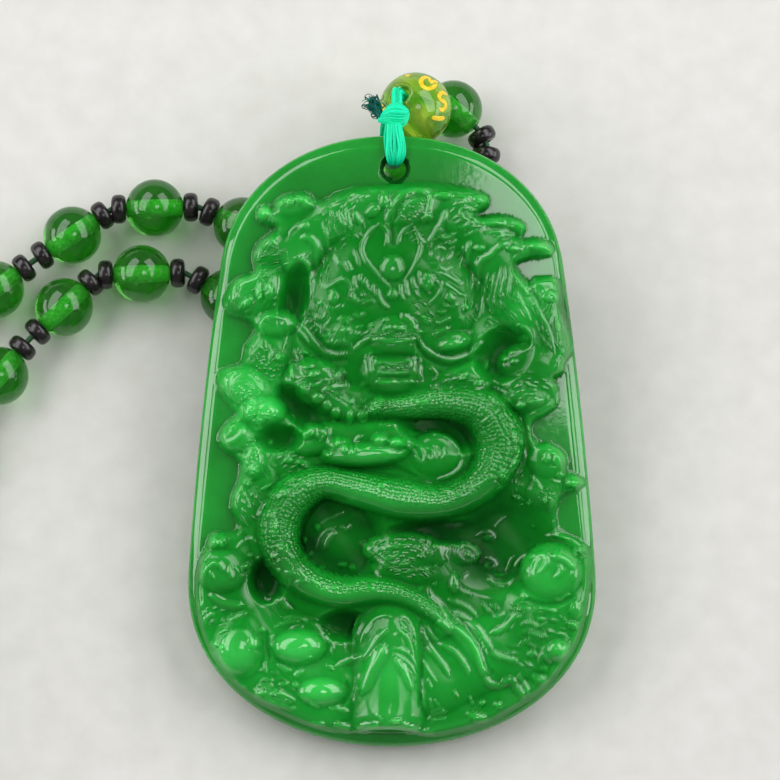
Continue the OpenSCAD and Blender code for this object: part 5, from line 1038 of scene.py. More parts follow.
REACH_WIDE, REACH_SOFT, REACH_FINE = 16, 5, 2
PAINTED_LIGHT_PATCHES = [  # x, y, reach, amount: pale and dark patches of painted light and shade on the stone
    (-12.5, 44.5, 3, 0.12), (-14.5, 35.5, 3.6, 0.24), (-12.8, 33.6, 3, 0.14), (-12.5, 54.5, 3, 0.06),
    (-14, 28.4, 2.8, 0.12), (15.5, 17, 3.4, 0.22), (-9.3, 9.5, 2.8, 0.2), (-7, 5.6, 2.6, 0.18),
    (-15.5, 9.2, 3.2, 0.2), (0, 7.4, 3.6, 0.2), (8, 10, 3.4, 0.14), (-2, 29.3, 3.4, 0.1),
    (14.2, 44.4, 2.4, 0.18), (16.9, 43.6, 3.2, -0.12), (-9, 34.5, 2.4, -0.18), (-9.9, 45, 2.2, -0.18),
    (-5.8, 19.5, 4.2, -0.12), (11, 21.5, 4.6, -0.22), (4.6, 20.4, 4.2, -0.16), (8.6, 17.2, 3, -0.14),
    (5, 32.2, 3, -0.06), (-12.8, 17, 2.3, -0.26), (11.4, 39.4, 2.3, -0.2), (0, 7.4, 5, 0.08),
    (-11.4, 31.3, 1.8, -0.14), (-4.8, 12.4, 2.3, -0.16), (-6, 51, 3.4, 0.03)]
STONE_MID, STONE_BACK = 0.46, 0.42
soft = blurred(height, REACH_SOFT)
wide = blurred(height, REACH_WIDE)
# Painted glow and shade: what stands over its neighbourhood is made paler, hollows and deep cuts darker
painted_glow_shade = STONE_MID + 0.17 * (soft - wide) + 0.07 * (height - soft)
painted_glow_shade += np.where(soft > 0, -0.06, 0.10) * soft
painted_glow_shade += np.clip(0.4 * (height - blurred(height, REACH_FINE)), -0.03, 0.08)
# Painted pale and dark patches of light and shade
for x, y, reach, amount in PAINTED_LIGHT_PATCHES:
    painted_glow_shade += amount * np.exp(-((grid_x - x) ** 2 + (grid_y - y) ** 2) / reach ** 2)
painted_glow_shade = np.clip(painted_glow_shade, 0, 1)
polished = np.clip(0.2 + 3.5 * (height - soft) + 0.4 * (height - wide), 0, 1)
polished = polished * np.clip(0.84 + 1.6 * soft, 0, 1)
polished = 1 - (scaled + clear) * (1 - polished)
print("stone from", painted_glow_shade.min().round(2), "to", painted_glow_shade.max().round(2), "on its scale from dark to pale")

# %% [markdown]
# The carved grid still needs its rim and its back. Rows of points run down the edge and round under
# it, and bands of faces join them. The last row closes as one flat face.

# %% Helpers for meshes
def mesh_object(name, points, faces):
    """A smooth-shaded mesh object in the scene."""
    mesh = bpy.data.meshes.new(name)
    mesh.from_pydata([tuple(p) for p in points], [], faces)
    mesh.polygons.foreach_set("use_smooth", [True] * len(faces))
    mesh.update()
    obj = bpy.data.objects.new(name, mesh)
    bpy.context.collection.objects.link(obj)
    return obj


def store(mesh, name, values, domain="POINT"):
    """Keeps a number or a vector for each point or face of a mesh, for a material or a tree to read."""
    values = np.asarray(values, np.float32)
    kind, field = ("FLOAT", "value") if values.ndim == 1 else ("FLOAT_VECTOR", "vector")
    mesh.attributes.new(name, kind, domain).data.foreach_set(field, values.ravel())


def band(lower, upper):
    """Faces between two closed rows of points."""
    return np.stack([lower, np.roll(lower, -1), np.roll(upper, -1), upper], -1).tolist()


def triangles(obj):
    return sum(len(p.vertices) - 2 for p in obj.data.polygons)


print("a band between two rows of 4 points has", len(band(np.arange(4), np.arange(4, 8))), "faces")

# %% Close the plaque
BACK_TURNS = (0, -22.5, -45, -67.5, -90)
side_cells = 2 * HALF_CELLS + 1
index = np.arange(side_cells ** 2).reshape(side_cells, side_cells)
edge = np.empty(rim_count, int)
edge[at[ring == HALF_CELLS]] = index[ring == HALF_CELLS]
rows, points = [edge], [front]
for turn_deg in BACK_TURNS:
    a = math.radians(turn_deg)
    xy = spoke(np.arange(rim_count), np.full(rim_count, BACK_R * (1 - math.cos(a))))
    points.append(np.column_stack([xy, np.full(rim_count, BACK_R * (1 + math.sin(a)))]))
    rows.append(len(front) + rim_count * (len(rows) - 1) + np.arange(rim_count))
faces = np.stack([index[:-1, :-1], index[1:, :-1], index[1:, 1:], index[:-1, 1:]], -1).reshape(-1, 4).tolist()
for upper, lower in zip(rows, rows[1:]):
    faces += band(lower, upper)
faces.append(rows[-1][::-1].tolist())
plaque = mesh_object("plaque_carved", laid(np.vstack(points)), faces)
plaque.data.polygons[len(faces) - 1].use_smooth = False
print("closed plaque:", triangles(plaque), "triangles")

# %% Keep what the material needs
back_count = rim_count * len(BACK_TURNS)
store(plaque.data, "painted_glow_shade", np.concatenate([painted_glow_shade.ravel(), np.full(back_count, STONE_BACK)]))
store(plaque.data, "polished", np.concatenate([polished.ravel(), np.ones(back_count)]))
on_back = np.zeros((back_count, 3))
for name, on_front in (("scales", np.stack([body_s, body_across, scaled], -1)), ("tooled", tooled),
                       ("facing", laid_way(facing))):
    store(plaque.data, name, np.vstack([on_front.reshape(-1, 3), on_back]))
print("kept on the mesh:", [a.name for a in plaque.data.attributes if not a.name.startswith(".")])

# %% [markdown]
# The drill hole is a real cut: a boolean with a turned drill, whose head has the small countersink
# seen round the hole's mouth. The Manifold solver keeps the numbers stored on the points.

# %% Drill the hole
HOLE_D, SINK, HOLE_SIDES = 2.3, 0.4, 64


def turned_rows(profile, sides):
    """Points and rows of a profile of radius and height, turned about the upright axis."""
    around = np.linspace(0, 2 * math.pi, sides, endpoint=False)
    points = [np.stack([r * np.cos(around), r * np.sin(around), np.full(sides, h)], -1) for r, h in profile]
    return np.vstack(points), [k * sides + np.arange(sides) for k in range(len(profile))]


def baked(obj, name):
    """Turns an object with live modifiers into a plain mesh object of the same place."""
    result = bpy.data.meshes.new_from_object(obj.evaluated_get(bpy.context.evaluated_depsgraph_get()))
    source = obj.data
    result.name = name
    bpy.data.objects.remove(obj)
    bpy.data.meshes.remove(source)
    piece = bpy.data.objects.new(name, result)
    bpy.context.collection.objects.link(piece)
    return piece


hole_r, wide_r = HOLE_D / 2, HOLE_D / 2 + SINK
drill_points, rows = turned_rows([
    (hole_r, -2), (hole_r, MARGIN_T - SINK), (hole_r + 0.62 * SINK, MARGIN_T - 0.3 * SINK),
    (wide_r, MARGIN_T + 0.02), (wide_r, MARGIN_T + 3)], HOLE_SIDES)
drill_faces = [face for lower, upper in zip(rows, rows[1:]) for face in band(lower, upper)]
drill_faces += [rows[0][::-1].tolist(), rows[-1].tolist()]
drill = mesh_object("drill", laid(drill_points + (*HOLE_AT, 0)), drill_faces)
cut = plaque.modifiers.new("drill_hole", "BOOLEAN")
cut.operation, cut.solver, cut.object = "DIFFERENCE", "MANIFOLD", drill
plaque = baked(plaque, "plaque_carved")
bpy.data.objects.remove(drill)
print("drilled plaque:", triangles(plaque), "triangles")

# %% Shade the carved face as it was cut
SHARP, FAR_OFF = math.radians(62), 0.55
plaque.data.set_sharp_from_angle(angle=SHARP)
corners, point_count = len(plaque.data.loops), len(plaque.data.vertices)
corner_way, corner_point = np.empty(corners * 3, np.float32), np.empty(corners, np.int32)
carved_way = np.empty(point_count * 3, np.float32)
plaque.data.corner_normals.foreach_get("vector", corner_way)
plaque.data.loops.foreach_get("vertex_index", corner_point)
plaque.data.attributes["facing"].data.foreach_get("vector", carved_way)
corner_way, carved_way = corner_way.reshape(-1, 3), carved_way.reshape(-1, 3)[corner_point]
part = np.linalg.norm(carved_way, axis=1, keepdims=True)
part = part * ((corner_way * carved_way).sum(1, keepdims=True) > FAR_OFF * part)
corner_way = corner_way * (1 - part) + carved_way * (part > 0)
corner_way /= np.linalg.norm(corner_way, axis=1, keepdims=True)
plaque.data.normals_split_custom_set(corner_way.tolist())
print("shaded from the carving:", round(100 * float((part > 0).mean())), "% of the corners")

# %% [markdown]
# ## Materials
#
# Each material starts from the real stuff. Colours are written as sRGB hex and turned to linear once.
# A pattern's scale is one over its real size, because object coordinates are in metres. The grain of
# a ground bore, silk's filaments, the enamel's grain and the paper's fibres are too fine to show, so
# they are drawn coarser than they are. A colour ramp's stops give a place from 0 to 1 and a colour.

# %% Helpers for materials
def linear(hex_colour):
    """An sRGB hex colour as linear red, green, blue, alpha."""
    parts = [int(hex_colour[k:k + 2], 16) / 255 for k in (1, 3, 5)]
    return tuple(c / 12.92 if c <= 0.04045 else ((c + 0.055) / 1.055) ** 2.4 for c in parts) + (1.0,)


def per_mm(size):
    """Texture scale for a pattern of this size in mm."""
    return 1 / (size * MM)


def fill(tree, node, values):
    """Sets a node's inputs. A socket is linked, and so is a node, by its first output."""
    for key, value in values.items():
        if isinstance(value, bpy.types.Node):
            value = value.outputs[0]
        if isinstance(value, bpy.types.NodeSocket):
            tree.links.new(value, node.inputs[key])
        else:
            node.inputs[key].default_value = value


def add(tree, kind, inputs=None, stops=(), **settings):
    """Adds a node with its settings, its inputs' values or links, and a colour ramp's stops."""
    made = tree.nodes.new(kind)
    for key, value in settings.items():
        setattr(made, key, value)
    if stops:
        colours = made.color_ramp.elements
        while len(colours) < len(stops):
            colours.new(0.5)
        for element, (place, colour) in zip(colours, stops):
            element.position, element.color = place, linear(colour)
    fill(tree, made, inputs or {})
    return made


def new_material(name):
    """A named material with its node tree, its surface shader and its object coordinates."""
    material = bpy.data.materials.new(name)
    material.use_nodes = True
    tree = material.node_tree
    return material, tree, tree.nodes["Principled BSDF"], add(tree, "ShaderNodeTexCoord").outputs["Object"]


print("mid green #10801F is", [round(c, 3) for c in linear("#10801F")[:3]], "in linear light")

# %% [markdown]
# Jade is a felt of fine crystals. Light enters it, wanders a few millimetres and comes out green, so
# thin raised parts glow and deep cuts stay dark; painted glow and shade in the colour add to that.
# Cloudy patches of a few millimetres run through the stone, with finer flecks in them.

# %% Jade: the stone's colour, with painted glow and shade
jade, tree, shader, where = new_material("jade_carved_and_polished")
# Reads the painted glow and shade kept on the mesh
depth = add(tree, "ShaderNodeAttribute", attribute_name="painted_glow_shade", attribute_type="GEOMETRY")
clouds = add(tree, "ShaderNodeTexNoise", {
    "Vector": where, "Scale": per_mm(7), "Detail": 3.0, "Roughness": 0.55})
flecks = add(tree, "ShaderNodeTexNoise", {
    "Vector": where, "Scale": per_mm(0.9), "Detail": 4.0, "Roughness": 0.6})
tone = add(tree, "ShaderNodeMath", {0: clouds, 1: 0.16, 2: depth.outputs["Fac"]}, operation="MULTIPLY_ADD")
tone = add(tree, "ShaderNodeMath", {0: flecks, 1: 0.08, 2: tone}, operation="MULTIPLY_ADD")
# Dark end for painted shade in deep cuts, pale end for painted glow on raised parts
stone = add(tree, "ShaderNodeValToRGB", {"Fac": tone}, stops=[
    (0.2, "#084812"), (0.46, "#10801F"), (0.6, "#1A9A30"), (0.85, "#36C552")])
print("stone's colour set by depth, clouds and flecks")

# %% [markdown]
# The cut face was polished by hand, which leaves a faint waviness. The body's scales and the fine
# strokes are too small for the mesh, so both are drawn here as bumps from the coordinates kept on
# it. The scales are 0.46 mm across. A stroke's cell is longer than it is wide, so that it reads as
# a hair.

# %% Jade: hand polish, scales and fine strokes
SCALE_MM, SCALE_RISE, STROKE_RISE = 0.46, 0.11, 0.12
waviness = add(tree, "ShaderNodeTexNoise", {"Vector": where, "Scale": per_mm(0.5), "Detail": 2.0})
surface = add(tree, "ShaderNodeBump", {"Height": waviness, "Strength": 0.2, "Distance": 0.01 * MM})
for kept, spacing, stray, middle, rim_at, rise in (("scales", SCALE_MM, 0.55, 0.05, 0.6, SCALE_RISE),
                                                   ("tooled", 1.0, 0.8, 0.04, 0.4, STROKE_RISE)):
    laid_on = add(tree, "ShaderNodeAttribute", attribute_name=kept, attribute_type="GEOMETRY")
    parts = add(tree, "ShaderNodeSeparateXYZ", {0: laid_on.outputs["Vector"]}).outputs
    row = add(tree, "ShaderNodeCombineXYZ", {"X": parts["X"], "Y": parts["Y"]})
    cell = add(tree, "ShaderNodeTexVoronoi", {"Vector": row, "Scale": 1 / spacing, "Randomness": stray},
               voronoi_dimensions="2D")
    crest = add(tree, "ShaderNodeMapRange", {
        "Value": cell, "From Min": middle, "From Max": rim_at, "To Min": 1.0, "To Max": 0.0})
    raised = add(tree, "ShaderNodeMath", {0: crest, 1: parts["Z"]}, operation="MULTIPLY")
    surface = add(tree, "ShaderNodeBump", {
        "Height": raised, "Strength": 1.0, "Distance": rise * MM, "Normal": surface})
print("scales of", SCALE_MM, "mm and fine strokes drawn as bumps")

# %% [markdown]
# The polishing felt reaches the crests and the plain margin, and hardly the ground between fine
# strokes. So the gloss is full where the stored polish or a stroke's crest is, and low in the deep.
# Jade's refractive index is 1.6 to 1.65.

# %% Jade: gloss
felt = add(tree, "ShaderNodeAttribute", attribute_name="polished", attribute_type="GEOMETRY")
reached = add(tree, "ShaderNodeMath", {0: felt.outputs["Fac"], 1: raised}, operation="ADD", use_clamp=True)
matt = add(tree, "ShaderNodeMapRange", {"Value": reached, "To Min": 0.14, "To Max": 0.02})
roughness = add(tree, "ShaderNodeMath", {0: flecks, 1: 0.06, 2: matt}, operation="MULTIPLY_ADD")
gloss = add(tree, "ShaderNodeMapRange", {"Value": reached, "To Min": 0.04, "To Max": 0.62})
fill(tree, shader, {
    "Base Color": stone, "Roughness": roughness, "IOR": 1.6, "Specular IOR Level": gloss, "Normal": surface,
    "Subsurface Weight": 1.0, "Subsurface Radius": (0.3, 1.0, 0.4), "Subsurface Scale": 2.0 * MM})
plaque.data.materials.clear()
plaque.data.materials.append(jade)
print("jade on", len(plaque.data.polygons), "faces")

# %% [markdown]
# The strand's beads are pressed soda glass, tinted in the melt and fire-polished: clear, smooth, with
# faint streaks. Their bores were drilled, which leaves a ground and paler wall. The spacers are black
# seed beads, cut from a drawn glass cane, with rounded ends and a little dust on them.

# %% Glass
bead_glass, tree, shader, where = new_material("soda_glass_green_fire_polished")
streaks = add(tree, "ShaderNodeTexNoise", {
    "Vector": where, "Scale": per_mm(5), "Detail": 2.0, "Distortion": 1.2})
tint = add(tree, "ShaderNodeValToRGB", {"Fac": streaks}, stops=[(0.3, "#46C03C"), (0.7, "#78E05C")])
fill(tree, shader, {"Base Color": tint, "Roughness": 0.03, "IOR": 1.52, "Transmission Weight": 0.96})

bore_glass, tree, shader, where = new_material("soda_glass_bore_ground")
grind = add(tree, "ShaderNodeTexNoise", {"Vector": where, "Scale": per_mm(0.25), "Detail": 3.0})
tint = add(tree, "ShaderNodeValToRGB", {"Fac": grind}, stops=[(0.3, "#4FDB62"), (0.7, "#A5F5A0")])
fill(tree, shader, {"Base Color": tint, "Roughness": 0.6, "IOR": 1.52, "Transmission Weight": 0.25})

seed_glass, tree, shader, where = new_material("seed_bead_glass_black")
dust = add(tree, "ShaderNodeTexNoise", {"Vector": where, "Scale": per_mm(0.8), "Detail": 3.0})
tint = add(tree, "ShaderNodeValToRGB", {"Fac": dust}, stops=[(0.35, "#0B090A"), (0.75, "#2C2426")])
dulled = add(tree, "ShaderNodeMapRange", {"Value": dust, "To Min": 0.12, "To Max": 0.34})
fill(tree, shader, {"Base Color": tint, "IOR": 1.52, "Roughness": dulled})
print("glass:", bead_glass.name, bore_glass.name, seed_glass.name)

# %% [markdown]
# The strand runs on twisted nylon, dull and green in the bores. The silk was reeled and dyed in the
# hank: its filaments take the dye unevenly and shine along their length. Its cut ends fray, and the
# shade where light is lost between the loose hairs is painted on them as a darker colour.

# %% Thread and silk
thread_cord, tree, shader, where = new_material("nylon_thread_green_twisted")
fibre = add(tree, "ShaderNodeTexNoise", {"Vector": where, "Scale": per_mm(0.15), "Detail": 3.0})
tint = add(tree, "ShaderNodeValToRGB", {"Fac": fibre}, stops=[(0.3, "#0A3A1A"), (0.7, "#1C7038")])
twist = add(tree, "ShaderNodeBump", {"Height": fibre, "Strength": 0.5, "Distance": 0.04 * MM})
fill(tree, shader, {"Base Color": tint, "Roughness": 0.55, "Normal": twist})

reeled_silk = {}
# The frayed ends' darker colours are painted shade
for name, dark, bright in (("silk_reeled_teal_green", "#00B483", "#1CFFC0"),
                           ("silk_frayed_dark_teal", "#012C28", "#0A7A6A")):
    reeled_silk[name], tree, shader, where = new_material(name)
    own = add(tree, "ShaderNodeAttribute", attribute_name="tint", attribute_type="GEOMETRY")
    fibres = add(tree, "ShaderNodeTexNoise", {
        "Vector": where, "Scale": per_mm(0.3), "Detail": 3.0, "Roughness": 0.6})
    dye = add(tree, "ShaderNodeMath", {0: fibres, 1: 0.35, 2: own.outputs["Fac"]}, operation="MULTIPLY_ADD")
    tint = add(tree, "ShaderNodeValToRGB", {"Fac": dye}, stops=[(0.15, dark), (0.95, bright)])
    lustre = add(tree, "ShaderNodeBump", {"Height": fibres, "Strength": 0.3, "Distance": 0.03 * MM})
    fill(tree, shader, {
        "Base Color": tint, "Roughness": 0.42, "IOR": 1.55, "Specular IOR Level": 0.15,
        "Normal": lustre})
silk, silk_ends = reeled_silk["silk_reeled_teal_green"], reeled_silk["silk_frayed_dark_teal"]
print("thread and silk:", thread_cord.name, silk.name, silk_ends.name)

# %% [markdown]
# The larger bead is a clearer, yellower glass. Its marks are bright gold enamel, painted on and
# fired, so they stand a hair over the glass with a fine grain.

# %% The larger bead's glass and gilt
gilt_glass, tree, shader, where = new_material("glass_yellow_green_polished")
streaks = add(tree, "ShaderNodeTexNoise", {
    "Vector": where, "Scale": per_mm(4), "Detail": 2.0, "Distortion": 0.8})
tint = add(tree, "ShaderNodeValToRGB", {"Fac": streaks}, stops=[(0.3, "#5CBC1C"), (0.72, "#DCF458")])
fill(tree, shader, {"Base Color": tint, "Roughness": 0.04, "IOR": 1.52, "Transmission Weight": 0.72})

gilt, tree, shader, where = new_material("gilt_enamel_fired_on")
grain = add(tree, "ShaderNodeTexNoise", {"Vector": where, "Scale": per_mm(0.3), "Detail": 3.0})
tint = add(tree, "ShaderNodeValToRGB", {"Fac": grain}, stops=[(0.3, "#F0B80C"), (0.7, "#FFE63C")])
uneven = add(tree, "ShaderNodeBump", {"Height": grain, "Strength": 0.3, "Distance": 0.03 * MM})
fill(tree, shader, {"Base Color": tint, "Metallic": 0.2, "Roughness": 0.35, "Normal": uneven})
print("materials:", [m.name for m in bpy.data.materials])

# %% [markdown]
# ## The strand
#
# Sixty-odd beads of one shape on one thread are a rule, not a modelling job. A Geometry Nodes tree
# puts one turned bead on each point and lays its bore along the thread there. The points and their
# directions come from the CAD model's own route, so each bead lies where its solid does.

# %% A turned, drilled bead
def turned(name, profile, bore_d, sides):
    """A closed ring of revolution about Z. The profile runs up the outside and back down the bore."""
    points, rows = turned_rows(profile, sides)
    faces = [face for lower, upper in zip(rows, rows[1:] + rows[:1]) for face in band(lower, upper)]
    piece = mesh_object(name, points * MM, faces)
    in_bore = [max(a[0], b[0]) <= bore_d / 2 + 1e-6 for a, b in zip(profile, profile[1:] + profile[:1])]
    store(piece.data, "bore", np.repeat(in_bore, sides), "FACE")
    return piece


def ball_profile(d, bore, steps):
    """A ball's outside from mouth to mouth, its edges eased by a tenth of the bore, then its bore."""
    ease = bore / 10
    low = math.asin((bore / 2 + ease) / (d / 2))
    turns = np.linspace(low, math.pi - low, steps)
    outside = [(d / 2 * math.sin(t), -d / 2 * math.cos(t)) for t in turns]
    top = outside[-1][1] - ease / 2
    return outside + [(bore / 2, top), (bore / 2, 0.0), (bore / 2, -top)]


SEED_D, SEED_L, SEED_BORE, SEED_ROUND = 3.0, 1.5, 1.1, 0.55
bead = turned("bead_pattern", ball_profile(BEAD_D, BEAD_BORE, 22), BEAD_BORE, 40)
low_side = [(SEED_D / 2 - SEED_ROUND + SEED_ROUND * math.sin(t),
             -SEED_L / 2 + SEED_ROUND - SEED_ROUND * math.cos(t)) for t in np.linspace(0, math.pi / 2, 4)]
high_side = [(r, -z) for r, z in low_side[::-1]]
mouths = (SEED_BORE / 2, -SEED_L / 2), (SEED_BORE / 2, SEED_L / 2)
seed = turned("seed_pattern", [mouths[0], *low_side, *high_side, mouths[1]], SEED_BORE, 20)
print("bead pattern", triangles(bead), "triangles, seed pattern", triangles(seed))


# %% The tree that threads them
def new_tree(name, ins, outs):
    """A Geometry Nodes tree with named sockets, what its input gives, and its output node."""
    tree = bpy.data.node_groups.new(name, "GeometryNodeTree")
    for way, sockets in (("INPUT", ins), ("OUTPUT", outs)):
        for label, kind in sockets.items():
            tree.interface.new_socket(label, in_out=way, socket_type="NodeSocket" + kind)
    return tree, add(tree, "NodeGroupInput").outputs, add(tree, "NodeGroupOutput")


threading, given, result = new_tree("beads_on_a_thread", {
    "Points": "Geometry", "Pattern": "Object", "Size": "Float", "Seed": "Int", "Glass": "Material",
    "Bore": "Material"}, {"Strand": "Geometry"})
way = add(threading, "GeometryNodeInputNamedAttribute", {"Name": "way"}, data_type="FLOAT_VECTOR")
along = add(threading, "FunctionNodeAlignRotationToVector", {"Vector": way}, axis="Z")
roll = add(threading, "FunctionNodeRandomValue", {"Seed": given["Seed"]}, data_type="FLOAT")
roll.inputs[3].default_value = math.tau
spin = add(threading, "FunctionNodeAxisAngleToRotation", {"Axis": (0, 0, 1), "Angle": roll.outputs[1]})
placed = add(threading, "FunctionNodeRotateRotation", {"Rotation": along, "Rotate By": spin},
             rotation_space="LOCAL")
pattern = add(threading, "GeometryNodeObjectInfo", {"Object": given["Pattern"]}).outputs["Geometry"]
copies = add(threading, "GeometryNodeInstanceOnPoints", {
    "Points": given["Points"], "Instance": pattern, "Rotation": placed, "Scale": given["Size"]})
real = add(threading, "GeometryNodeRealizeInstances", {"Geometry": copies})
dressed = add(threading, "GeometryNodeSetMaterial", {"Geometry": real, "Material": given["Glass"]})
in_bore = add(threading, "GeometryNodeInputNamedAttribute", {"Name": "bore"}, data_type="FLOAT")
dressed = add(threading, "GeometryNodeSetMaterial", {
    "Geometry": dressed, "Selection": in_bore, "Material": given["Bore"]})
fill(threading, result, {"Strand": dressed})
print("threading tree:", len(threading.nodes), "nodes")


# %% Thread the glass beads
def with_tree(source, tree, values, name):
    """Runs a tree on an object, with its inputs set by identifier, and turns the result into a mesh."""
    modifier = source.modifiers.new(tree.name, "NODES")
    modifier.node_group = tree
    names = {item.name: item.identifier for item in tree.interface.items_tree if item.in_out == "INPUT"}
    for key, value in values.items():
        modifier[names[key]] = value
    return baked(source, name)


def threaded(name, pattern, mids, ways, glass, bore, seed_value):
    """One piece from a pattern at its own size, at each mid-point in mm, its bore along the way there."""
    points = mesh_object(name + "_points", (np.array(mids) + SHIFT) * MM, [])
    store(points.data, "way", np.array(ways, float))
    piece = with_tree(points, threading, {
        "Pattern": pattern, "Size": 1.0, "Seed": seed_value, "Glass": glass, "Bore": bore}, name)
    bpy.data.objects.remove(pattern)
    piece.data.polygons.foreach_set("use_smooth", [True] * len(piece.data.polygons))
    return piece


stretches = [(route[k, :3], route[k + 1, :3]) for k in range(len(route) - 1)]
bead_ways = [stretches[k][1] - stretches[k][0] for k in bead_links]
strand = threaded("bead_strand", bead, bead_mids, bead_ways, bead_glass, bore_glass, 3)
print("strand:", len(bead_mids), "beads,", triangles(strand), "triangles")

# %% [markdown]
# Two black seeds fill the gap between neighbours: each sits on its own bead's straight stretch of
# thread, hard against the bead's mouth. A straight stretch without a bead takes one seed.

# %% Black spacers
BEAD_REACH, PLAY = math.sqrt((BEAD_D / 2) ** 2 - (BEAD_BORE / 2) ** 2), 0.02
seed_mids, seed_ways = [], []
for k, (a, b) in enumerate(stretches):
    length = np.linalg.norm(b - a)
    way, mid = (b - a) / length, (a + b) / 2
    if route[k, 3] and length / 2 - BEAD_REACH > SEED_L - 0.05:
        far = BEAD_REACH + PLAY + SEED_L / 2
        seed_mids += [mid - far * way, mid + far * way]
        seed_ways += [way, way]
    elif not route[k, 3] and SEED_L < length < 2 * SEED_L and a[2] == b[2]:
        seed_mids.append(mid)
        seed_ways.append(way)
seeds = threaded("seed_spacers", seed, seed_mids, seed_ways, seed_glass, seed_glass, 5)
print("spacers:", len(seed_mids), "seeds,", triangles(seeds), "triangles")

# %% [markdown]
# Thread and silk are strands laid along a path, so one tree makes them all: a chain of edges becomes a
# curve, and a round profile follows it at the radius stored on each point.

# %% The tree that sweeps strands
sweeping, given, result = new_tree("strands_along_paths", {
    "Paths": "Geometry", "Sides": "Int", "Fibre": "Material"}, {"Strands": "Geometry"})
curves = add(sweeping, "GeometryNodeMeshToCurve", {"Mesh": given["Paths"]})
radius = add(sweeping, "GeometryNodeInputNamedAttribute", {"Name": "radius_m"}, data_type="FLOAT")
circle = add(sweeping, "GeometryNodeCurvePrimitiveCircle", {"Resolution": given["Sides"], "Radius": 1.0})
tubes = add(sweeping, "GeometryNodeCurveToMesh", {
    "Curve": curves, "Profile Curve": circle, "Scale": radius, "Fill Caps": True})
real = add(sweeping, "GeometryNodeRealizeInstances", {"Geometry": tubes})
dressed = add(sweeping, "GeometryNodeSetMaterial", {"Geometry": real, "Material": given["Fibre"]})
fill(sweeping, result, {"Strands": dressed})
print("sweeping tree:", len(sweeping.nodes), "nodes")


# %% Sweep the thread
def swept(name, paths, radii, sides, material):
    """One piece from many strands. paths are arrays of points in metres, radii are in mm."""
    counts = [len(path) for path in paths]
    starts = np.cumsum([0] + counts)
    edges = [(start + k, start + k + 1) for start, count in zip(starts, counts) for k in range(count - 1)]
    mesh = bpy.data.meshes.new(name + "_paths")
    mesh.from_pydata(np.vstack(paths).tolist(), edges, [])
    sizes = [np.broadcast_to(thick, count) for thick, count in zip(radii, counts)]
    store(mesh, "radius_m", np.concatenate(sizes) * MM)
    tints = np.random.default_rng(len(paths)).uniform(0.1, 0.75, len(paths))
    store(mesh, "tint", np.repeat(tints, counts))
    source = bpy.data.objects.new(name, mesh)
    bpy.context.collection.objects.link(source)
    piece = with_tree(source, sweeping, {"Sides": sides, "Fibre": material}, name)
    piece.data.polygons.foreach_set("use_smooth", [len(p.vertices) == 4 for p in piece.data.polygons])
    return piece


THREAD_R, THREAD_APART, THREAD_IN = 0.3, 0.42, 0.6
GILT_AT = np.array([2.4, PLAQUE_H + 3, -0.95])
GILT_WAY = np.array([-0.459, 0.378, 0.804])
gilt_mid = laid(GILT_AT) / MM - SHIFT
gilt_way = laid_way(GILT_WAY)
# Both ends go into the larger bead's bore, side by side.
apart = np.cross(gilt_way, (0, 0, 1))
apart = apart / np.linalg.norm(apart) * THREAD_APART
ends_in = [gilt_mid - THREAD_IN * gilt_way, gilt_mid - GILT_D / 2 * gilt_way]
thread_path = np.vstack([[e + apart for e in ends_in], route[:, :3], [e - apart for e in ends_in[::-1]]])
thread = swept("thread_twisted", [(thread_path + SHIFT) * MM], [THREAD_R], 10, thread_cord)
print("thread:", round(float(gone_so_far(thread_path)[-1])), "mm,", triangles(thread), "triangles")

# %% [markdown]
# ## Silk
#
# The loop is a flat hank of reeled silk. It comes out from under the knot, lies over the crown, goes
# through the hole and up behind the plaque. It is built from its strands, so that it shines in fine
# lines and its edge is never one clean curve. Each strand wanders a little, by a fixed seed.

# %% The silk loop
SILK_ROUTE = [  # x, y, height over the back, half width, half thickness
    (0.15, 63, 4.6, 0.85, 0.42), (0.2, 62.2, 4.95, 0.98, 0.4), (0.25, 61.4, 5.12, 1.05, 0.4),
    (0.3, 60.6, 5.12, 1.08, 0.38), (0.3, 60, 5.08, 1.04, 0.36), (0.3, 59.55, 4.88, 0.92, 0.34),
    (0.3, 59.25, 4.4, 0.76, 0.32), (0.3, 59.12, 3.6, 0.66, 0.3), (0.3, 59.1, 2.3, 0.64, 0.3),
    (0.3, 59.1, 1.2, 0.64, 0.3), (0.25, 59.1, 0.3, 0.64, 0.32), (0.1, 59.15, -0.3, 0.64, 0.34),
    (-0.2, 59.6, -0.6, 0.6, 0.34), (-0.5, 60.3, -0.6, 0.55, 0.32), (-0.7, 61.2, -0.35, 0.5, 0.28),
    (-0.8, 61.8, 0.1, 0.5, 0.26), (-0.8, 62.2, 0.65, 0.5, 0.26), (-0.75, 62.6, 1.2, 0.5, 0.28),
    (-0.7, 62.95, 1.7, 0.5, 0.3), (-0.6, 63.2, 2.1, 0.5, 0.3)]
STRAND_R, MOST_STRANDS, STRAY = 0.13, 9, 0.07
rng = np.random.default_rng(11)
hank = smooth_path(SILK_ROUTE, 5)
ways = np.gradient(hank[:, :3], axis=0)
ways /= np.linalg.norm(ways, axis=1, keepdims=True)
out = np.cross(ways, (1, 0, 0))
out /= np.linalg.norm(out, axis=1, keepdims=True)
t = np.linspace(0, 1, len(hank))
loop_paths = []
